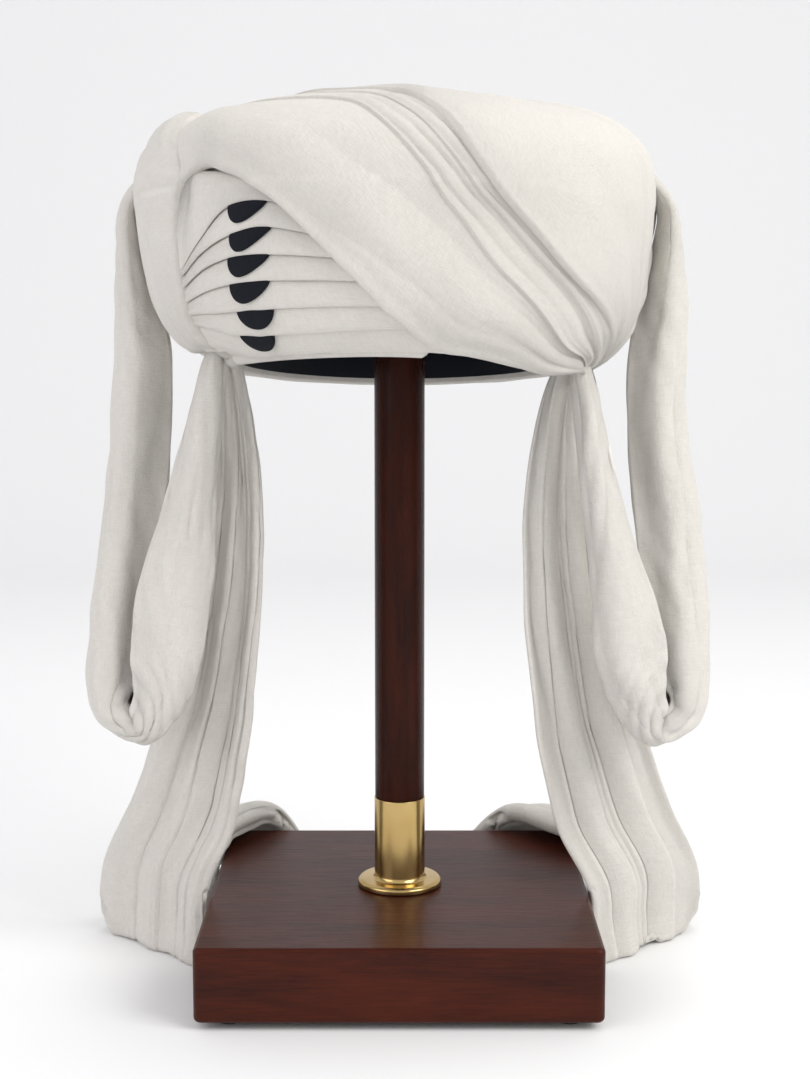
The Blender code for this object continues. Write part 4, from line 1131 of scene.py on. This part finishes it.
def under_hem(turn, climb, count=HEM_COLUMNS, depth=0.020):
    """The grid of turns and climbs with more columns at its last end, which carry the cloth round under the
    hem."""
    on = np.linspace(0, 1, count + 1)[1:]
    more_turn = turn[:, -1:] + (turn[:, -1:] - turn[:, -2:-1]) * on * 4
    return np.hstack([turn, more_turn]), np.hstack([climb, climb[:, -1:] * (1 - on) - depth * on])


def tuck(distance, step, spread):
    """One tuck: the cloth above lies on the cloth below, with a rounded lower edge, and settles over
    spread."""
    above = rounded(distance, TUCK_EDGE) * (1 - smooth((distance - 0.003) / spread))
    return step * (above - 0.35 * bump(distance + 0.0006, 0.0008) * (distance < 0))


def front_wrap(context):
    """The front wrap: a rolled edge over the pleats, two tucks, broad waves and folds drawn in to the tie."""
    cloth = context.scene.pagri_cloth
    places = np.linspace(0, 1, 250)
    # The rows lie close together just above the free edge and each of the two tucks.
    near = np.array([0, 0.008, 0.018, 0.034, 0.056])
    shares = np.concatenate([
        np.linspace(0, 0.08, 10), np.linspace(0.09, 0.975, 48), [0.985, 0.994], 1 + near,
        np.linspace(1.09, 1.95, 18), [1.97, 1.988], 2 + near, np.linspace(2.09, 3, 14)])
    turn, climb = under_hem(*from_above(fan((EDGE_LINE, LOW_TUCK, MID_TUCK, HIGH_TUCK), places, shares)))
    place = np.append(places, np.ones(HEM_COLUMNS))
    bare = crown(turn, climb, 0.0)
    run, length = run_along(bare, 0), run_along(bare, 1)
    share = shares[:, None]
    first, second = (run[np.searchsorted(shares, edge)] for edge in (1.0, 2.0))
    over_pleats = (PLEAT_TUCK + PLEAT_RISE + LAYER_GAP) * (1 - smooth((share - 0.35) / 0.6))
    over_pleats = over_pleats * smooth((place - 0.04) / 0.12)
    drawn = smooth((place - 0.60) / 0.34)
    out = rounded(run, FRONT_EDGE)
    body = ridged(cloth.thickness, run, FRONT_RIDGES)
    shown = smooth((place - 0.12) / 0.18)
    body = body + tuck(run - first, cloth.tuck_step, 0.010) * shown
    body = body + tuck(run - second, cloth.tuck_step * 0.8, 0.006) * shown
    body = body + 0.0006 * bump(run - second - 0.0026, 0.0006) * shown
    wide = np.minimum(share, 1) * 3.2 + (share - 1).clip(0) * 1.5
    off_edge = rounded(run - 0.004, 0.006)
    body = body + cloth.fold_depth * 1.25 * drawn * (folds(wide + 0.25 + 0.3 * place) - FOLD_MEAN) * off_edge
    broad = share * 2.1 - 0.9 * place + 0.12 * np.sin(2 * math.pi * place)
    waves = WRAP_WAVE * (folds(broad) - 0.7) * smooth((place - 0.22) / 0.3) * (1 - 0.6 * drawn)
    body = body + waves * off_edge
    soft = cloth.crumple * crumple(length, run, 5, 0.030, 3.5)
    start = rounded(place, 0.03)
    inner = LAYER_GAP * 0.5 + over_pleats * 0.6 * start
    outer = LAYER_GAP + (over_pleats + body + soft) * out * start
    made = laid_cloth("front_wrap_cloth", turn, climb, outer, np.minimum(inner, outer) - INNER_GAP,
                      white_cloth(context, 3), ["front_wrap"])


def side_wrap(context):
    """The side wrap: a thin front edge over the front wrap, laid layers and folds drawn in to the tie."""
    cloth = context.scene.pagri_cloth
    places = np.linspace(0, 1, 250)
    place = np.append(places, np.ones(HEM_COLUMNS))
    shares = np.concatenate([np.linspace(-0.02, 0.12, 18), np.linspace(0.13, 1, 92)])
    near, far = through(HIGH_TUCK, places), through(BACK_LINE, places)
    turn, climb = under_hem(*from_above(near + (far - near) * shares[:, None, None]))
    bare = crown(turn, climb, 0.0)
    run, length = run_along(bare, 0), run_along(bare, 1)
    share = shares[:, None]
    over_front = (cloth.thickness + LAYER_GAP) * (1 - smooth((share - 0.08) / 0.17))
    drawn = smooth((place - 0.66) / 0.30)
    out = rounded(run, SIDE_EDGE) * rounded(run[-1:] - run, BACK_EDGE)
    body = ridged(cloth.thickness * (0.62 + 0.38 * smooth(run / 0.02)), run, SIDE_RIDGES)
    body = ridged(body, run[-1:] - run, BACK_RIDGES)
    body = body + cloth.fold_depth * 1.1 * drawn * (folds(share * 9.0 + 0.4 * place) - FOLD_MEAN)
    body = body + SIDE_WAVE * np.sin(2 * math.pi * (share * 3.1 + 0.5 * place)) * (1 - 0.6 * drawn)
    for where, size in SIDE_TUCKS:
        body = body + tuck((share - where) * 0.17, size, 0.012) * smooth((place - 0.10) / 0.2)
    soft = cloth.crumple * crumple(length, run, 6, 0.034, 3.0)
    start = rounded(place, 0.03)
    outer = LAYER_GAP + (over_front + body + soft) * out * start
    made = laid_cloth("side_wrap_cloth", turn, climb, outer, np.minimum(LAYER_GAP * 0.5, outer) - INNER_GAP,
                      white_cloth(context, 4), ["side_wrap"])


class PAGRI_OT_wraps(bpy.types.Operator):
    """The broad front wrap with its tucks, and the side wrap that lies over it"""

    bl_idname = "pagri.wraps"
    bl_label = "Wraps"

    def execute(self, context):
        front_wrap(context)
        side_wrap(context)
        return {"FINISHED"}


class PAGRI_OT_band(bpy.types.Operator):
    """The folded band from the left tie up over the crown, in two soft rolls"""

    bl_idname = "pagri.band"
    bl_label = "Left band"

    def execute(self, context):
        cloth = context.scene.pagri_cloth
        shares, places = np.linspace(0, 1, 84), np.linspace(0, 1, 200)
        turn, climb = from_above(fan((BAND_INNER, BAND_OUTER), places, shares))
        # The columns are turned round, so that the last one is at the tie and goes on under the hem.
        turn, climb, place = np.flip(turn, 1), np.flip(climb, 1), places[::-1]
        turn, climb = under_hem(turn, climb)
        place = np.append(place, np.zeros(HEM_COLUMNS))
        bare = crown(turn, climb, 0.0)
        run, length = run_along(bare, 0), run_along(bare, 1)
        share = shares[:, None]
        edge = rounded(run, BAND_EDGES[0]) * rounded(run[-1:] - run, BAND_EDGES[1])
        first = np.sin(math.pi * (share / 0.50).clip(0, 1)) ** 0.55
        second = np.sin(math.pi * ((share - 0.46) / 0.54).clip(0, 1)) ** 0.6
        full = 1 - 0.35 * smooth((place - 0.7) / 0.3)
        at_tie = 0.2 + 0.8 * smooth(place / 0.07)
        body = cloth.thickness * (0.5 + at_tie) + BAND_RISE * at_tie * full * np.maximum(first, 0.62 * second)
        drawn = 0.5 + smooth((0.3 - place) / 0.3)
        body = body + cloth.fold_depth * 0.55 * (folds(share * 7 + 0.5 * place) - FOLD_MEAN) * drawn
        soft = cloth.crumple * crumple(length, run, 8, 0.026, 3.0)
        end = rounded(1 - place, 0.20)
        outer = LAYER_GAP + (body + soft) * edge * end
        made = laid_cloth("left_band_cloth", turn, climb, outer, np.minimum(0.0, outer) - INNER_GAP,
                          white_cloth(context, 5), ["left_band"])
        return {"FINISHED"}


def below_hem(points):
    """The points set at the height where cloth meets the hem from below."""
    points = points.copy()
    turn = np.arctan2(points[..., 0] / CROWN_WIDTH, -points[..., 1] / CROWN_DEPTH)
    points[..., 2] = rim_height(turn) - HEM_DROP - REST_GAP
    return points


def tie_point(side):
    """Middle of the hem where that side's loop and tail are tied in."""
    turn = np.array([TIE_TURN * side])
    outer = crown(turn, 0.0, -HEM_INSET)[0]
    inner = lining_ring(turn, 0.0, LINING_WALL + LAYER_GAP)[0]
    return below_hem(outer * HEM_MIDDLE + inner * (1 - HEM_MIDDLE))


def loop_middle(side, stations, around):
    """Middle grid of a loop: a spine from the crown's side down, round and up to the tie, with a gutter
    section that opens to the inside of the loop."""
    place = np.linspace(0, 1, stations)
    read = table(LOOP, LOOP_COLUMNS, place)
    low = LOOP_TOP - LOOP_FALL
    outward = LOOP_SPREAD * (read["out"] + LOOP_SKEW * smooth((read["fall"] - 0.8) / 0.2))
    back, height = read["back"] * CROWN_DEPTH / 2, LOOP_TOP - (LOOP_TOP - low) * read["fall"]
    spine = np.stack([side * outward, back, height], axis=-1)
    middle_line = LOOP_SPREAD * (0.82 - 0.35 * (1 - smooth(place / 0.3)))
    inward = np.zeros_like(spine)
    inward[:, 0] = side * middle_line - spine[:, 0]
    inward[:, 2] = (low + LOOP_SPREAD * 0.20 - spine[:, 2]).clip(0)
    tangent = np.gradient(spine, axis=0)
    tangent /= np.linalg.norm(tangent, axis=1, keepdims=True)
    inward -= tangent * (inward * tangent).sum(axis=1, keepdims=True)
    inward /= np.linalg.norm(inward, axis=1, keepdims=True)
    across = np.cross(tangent, inward)
    section = through(GUTTER, np.linspace(0, 1, around))[None].repeat(stations, axis=0)
    closed = 1 - bump(place - 0.57, 0.12)
    lip = smooth((section[..., 0] - 0.45) / 0.55)
    section[..., 1] *= 1 - 0.93 * lip * closed[:, None]
    reach = LOOP_REACH * read["reach"] * (1 - (1 - ARM_REACH[side]) * smooth((place - 0.68) / 0.14))
    girth = LOOP_GIRTH / 2 * read["girth"]
    middle = (spine[:, None] + inward[:, None] * section[..., :1] * reach[:, None, None]
              + across[:, None] * section[..., 1:] * girth[:, None, None])
    # Each ring of the arm beside the crown is moved out as a whole, by a distance that changes slowly.
    clear = outside_crown(middle, LOOP_CLEARANCE)
    push = np.linalg.norm(clear - middle, axis=-1).max(axis=1) * (place < 0.5)
    width = max(stations // 14, 3)
    kernel = np.hanning(2 * width + 1)
    push = np.convolve(np.pad(push, width, mode="edge"), kernel / kernel.sum(), mode="valid")
    middle[..., 0] += side * (push * smooth((place - 0.005) / 0.055))[:, None]
    return middle, place


class PAGRI_OT_loops(bpy.types.Operator):
    """The two hanging loops of folded cloth"""

    bl_idname = "pagri.loops"
    bl_label = "Loops"

    def execute(self, context):
        cloth = context.scene.pagri_cloth
        for name, side in (("left", LEFT), ("right", RIGHT)):
            middle, place = loop_middle(side, 320, 64)
            along, across = run_along(middle, 0), run_along(middle, 1)
            part = np.linspace(0, 1, 64)[None, :]
            place = place[:, None]
            ends = rounded(place, 0.05) * rounded(1 - place, 0.05)
            drift = 0.25 * np.sin(2 * math.pi * place * 1.3 + side) + 0.15 * np.sin(2 * math.pi * place * 3.1)
            long_folds = LOOP_FOLD * (folds(part * 4.6 + drift) - FOLD_MEAN)
            bend = bump(place - 0.575, 0.10)
            creases = LOOP_CREASE * bend * np.sin(2 * math.pi * along / CREASE_PITCH + 6 * part)
            creases = creases * (0.4 + 0.6 * np.abs(part * 2 - 1))
            soft = crumpled(LOOP_CRUMPLE, along, across, side, cloth.crumple)
            normal = grid_normal(middle)
            middle = middle + normal * ((long_folds + creases + soft) * ends)[..., None]
            made = thick_sheet(f"{name}_loop_cloth", middle, LOOP_WALL * (0.75 + 0.25 * ends),
                               white_cloth(context, 11 + side), [f"{name}_loop"])
        return {"FINISHED"}


def tail_edges(side, place_hang, place_trail):
    """Inner and outer edge of a tail, the hanging part and then the end that trails on the floor."""
    tie = tie_point(side)
    hang = table(TAIL, TAIL_COLUMNS, place_hang)
    trail = table(TRAIL, TRAIL_COLUMNS, place_trail)
    beside = BOARD_HALF + 0.08 * TRAIL_SPREAD
    swell = TAIL_SWELL[side] * hang["swell"] * TAIL_WIDTH
    inner_out = abs(tie[0]) * (1 - hang["to_board"]) + beside * hang["to_board"] - swell
    up = tie[2] * hang["height"]
    stand = [TRAIL[0][TRAIL_COLUMNS.index(key)] * BOARD_HALF for key in ("in_back", "out_back")]
    inner_back = tie[1] + (stand[0] - tie[1]) * hang["drift"]
    outer_back = tie[1] + (stand[1] - tie[1]) * hang["drift"]
    outer_out = inner_out + swell + TAIL_WIDTH * (hang["width"] - hang["swell"])
    inner = np.stack([side * inner_out, inner_back, up], axis=-1)
    outer = np.stack([side * outer_out, outer_back, up], axis=-1)
    ends = []
    for edge in ("in", "out"):
        out = trail[f"{edge}_out"]
        out = BOARD_HALF + TRAIL_SPREAD * np.where(out < 0, out * TRAIL_INWARD[side], out)
        back, up = BOARD_HALF * trail[f"{edge}_back"], BOARD_TOP * trail[f"{edge}_up"]
        ends.append(np.stack([side * out, back, up], axis=-1))
    wall = TAIL_WALL + (TRAIL_WALL - TAIL_WALL) * trail["wall"]
    wall = np.append(np.full(len(place_hang), TAIL_WALL), wall)
    return np.vstack([inner, ends[0]]), np.vstack([outer, ends[1]]), wall


class PAGRI_OT_tails(bpy.types.Operator):
    """The two pleated tails that fall to the floor and trail round the board"""

    bl_idname = "pagri.tails"
    bl_label = "Tails"

    def execute(self, context):
        cloth = context.scene.pagri_cloth
        for name, side in (("left", LEFT), ("right", RIGHT)):
            coarse = np.linspace(0, 1, 60)
            inner, outer, wall = tail_edges(side, coarse, coarse)
            step = np.linalg.norm(np.diff((inner + outer) / 2, axis=0), axis=1)
            length = np.append(0, np.cumsum(step))
            even = np.linspace(0, length[-1], 270)
            inner, outer = (np.stack([np.interp(even, length, part[:, k]) for k in range(3)], axis=-1)
                            for part in (inner, outer))
            wall = np.interp(even, length, wall)
            share = even / even[-1]
            across = np.linspace(0, 1, 80)
            middle = inner[:, None] * (1 - across[:, None]) + outer[:, None] * across[:, None]
            facing = np.cross(outer - inner, np.gradient((inner + outer) / 2, axis=0))
            facing /= np.linalg.norm(facing, axis=1, keepdims=True)
            hang = 1 - smooth((share - 0.64) / 0.12)
            broadness = np.linalg.norm(outer - inner, axis=1).clip(0, TAIL_WIDTH) / TAIL_WIDTH
            drift = 0.04 * np.sin(2 * math.pi * share * 1.1 + side)
            swing = TAIL_SWING * broadness * (1 - 0.5 * smooth((share - 0.45) / 0.2))
            broad = np.sin(2 * math.pi * 2.6 * (across[None, :] + drift[:, None]))
            # Each sharp pleat rises at once at its edge and settles slowly towards the next.
            fine = 0.0
            for edge in TAIL_PLEATS[side]:
                past = across[None, :] - edge - 0.5 * drift[:, None]
                fine = fine + rounded(past, 0.014) * (1 - smooth(past / 0.13))
            fine = TAIL_FOLD * (0.4 + 0.6 * broadness)[:, None] * hang[:, None] * fine
            fine = fine * smooth(across / 0.05) * smooth((1 - across) / 0.05)
            soft = crumpled(TAIL_CRUMPLE, even[:, None], across[None, :] * TAIL_WIDTH, side, cloth.crumple)
            move = swing[:, None] * broad + fine + soft * rounded(share, 0.03)[:, None]
            middle = middle + facing[:, None] * move[..., None]
            # The trailing end arches up across its width, and its outer corner lifts where the cloth turns.
            filled = (wall - TAIL_WALL) / (TRAIL_WALL - TAIL_WALL)
            middle[..., 2] += TRAIL_ARCH * filled[:, None] * np.sin(math.pi * across)[None, :] ** 0.8
            foot = share[np.argmax(wall > TAIL_WALL)]
            corner = (smooth((across - 0.80) / 0.2) ** 2)[None, :]
            middle[..., 2] += CORNER_LIFT * bump(share - foot, 0.035)[:, None] * corner
            middle = outside_board(middle, wall[:, None] / 2)
            made = thick_sheet(f"{name}_tail_cloth", middle, wall[:, None], white_cloth(context, 15 + side),
                               [f"{name}_tail"])
        return {"FINISHED"}


class PAGRI_OT_stage(bpy.types.Operator):
    """Floor and wall in one pale sheet, soft lights and the camera"""

    bl_idname = "pagri.stage"
    bl_label = "Stage"

    def execute(self, context):
        stage = context.scene.pagri_stage
        bend = np.linspace(0, math.pi / 2, 24)
        radius, back = 0.7, 1.5
        curve = np.stack([back + radius * np.sin(bend), radius * (1 - np.cos(bend))], axis=-1)
        line = np.vstack([[-3.0, 0.0], curve, [back + radius, 3.0]])
        points = np.stack([np.concatenate([np.full(len(line), x) for x in (-3.0, 3.0)]),
                           np.tile(line[:, 0], 2), np.tile(line[:, 1], 2)], axis=-1)
        number = np.arange(len(points)).reshape(2, -1)
        mesh = bpy.data.meshes.new("paper")
        mesh.from_pydata(points.tolist(), [], quads(number).tolist())
        mesh.shade_smooth()
        paper, tree, shader = new_material("Paper", tuple(stage.backdrop_colour))
        shader.inputs["Base Color"].default_value = (*stage.backdrop_colour, 1.0)
        shader.inputs["Roughness"].default_value = 0.9
        shader.inputs["Specular IOR Level"].default_value = 0.1
        mesh.materials.append(paper)
        floor = bpy.data.objects.new("paper", mesh)
        context.scene.collection.objects.link(floor)

        world = bpy.data.worlds.new("Room")
        context.scene.world = world
        world.use_nodes = True
        light = world.node_tree.nodes["Background"]
        light.inputs["Color"].default_value = (0.985, 0.985, 1.0, 1.0)
        light.inputs["Strength"].default_value = stage.sky
        for name, watts, size, place, aim, colour in (
                ("Key", stage.key_watts, 1.0, (1.25, -0.9, 1.3), (0, 0, 0.25), (1.0, 1.0, 0.955)),
                ("Fill", stage.fill_watts, 1.2, (-1.4, -1.0, 0.9), (0, 0, 0.25), (1.0, 0.965, 0.985)),
                ("Top", stage.top_watts, 1.0, (0.2, 0.2, 1.5), (0, 0, 0.2), (1.0, 1.0, 1.0))):
            lamp = bpy.data.lights.new(name, "AREA")
            lamp.energy, lamp.size, lamp.color = watts, size, colour
            made = bpy.data.objects.new(name, lamp)
            made.location = place
            from_lamp = np.array(aim) - np.array(place)
            flat = math.hypot(from_lamp[0], from_lamp[1])
            round_up = math.atan2(-from_lamp[0], from_lamp[1])
            made.rotation_euler = (math.atan2(flat, -from_lamp[2]), 0, round_up)
            context.scene.collection.objects.link(made)

        camera = bpy.data.cameras.new("Camera")
        camera.sensor_width, camera.lens = 36.0, stage.lens
        made = bpy.data.objects.new("Camera", camera)
        made.location = stage.camera_place
        made.rotation_euler = (math.pi / 2 - stage.camera_down, 0, 0)
        context.scene.collection.objects.link(made)
        context.scene.camera = made
        context.scene.view_settings.view_transform = "Standard"
        return {"FINISHED"}


class PAGRI_PT_panel(bpy.types.Panel):
    """The settings and the steps, in the sidebar"""

    bl_idname = "PAGRI_PT_panel"
    bl_label = "Pagri"
    bl_space_type = "VIEW_3D"
    bl_region_type = "UI"
    bl_category = "Pagri"

    def draw(self, context):
        for title, settings, steps in (
                ("Cloth", context.scene.pagri_cloth,
                 ("lining", "crown", "pleats", "tabs", "wraps", "band", "loops", "tails")),
                ("Stand", context.scene.pagri_stand, ("stand",)),
                ("Stage", context.scene.pagri_stage, ("stage",))):
            box = self.layout.box()
            box.label(text=title)
            for key in settings.bl_rna.properties.keys():
                if key not in ("rna_type", "name"):
                    box.prop(settings, key)
            for step in steps:
                box.operator(f"pagri.{step}")


SETTINGS = {"pagri_cloth": PagriCloth, "pagri_stand": PagriStand, "pagri_stage": PagriStage}
STEPS = (PAGRI_OT_stage, PAGRI_OT_stand, PAGRI_OT_crown, PAGRI_OT_lining, PAGRI_OT_pleats, PAGRI_OT_tabs,
         PAGRI_OT_wraps, PAGRI_OT_band, PAGRI_OT_loops, PAGRI_OT_tails)


def register():
    """Adds the settings, the operators and the panel to Blender."""
    for made in (*SETTINGS.values(), *STEPS, PAGRI_PT_panel):
        bpy.utils.register_class(made)
    for key, settings in SETTINGS.items():
        setattr(bpy.types.Scene, key, PointerProperty(type=settings))


def unregister():
    """Takes the settings, the operators and the panel out again."""
    for key in SETTINGS:
        delattr(bpy.types.Scene, key)
    for made in reversed((*SETTINGS.values(), *STEPS, PAGRI_PT_panel)):
        bpy.utils.unregister_class(made)


def main():
    register()
    for step in STEPS:
        getattr(bpy.ops.pagri, step.bl_idname.split(".")[1])()


if __name__ == "__main__":
    main()
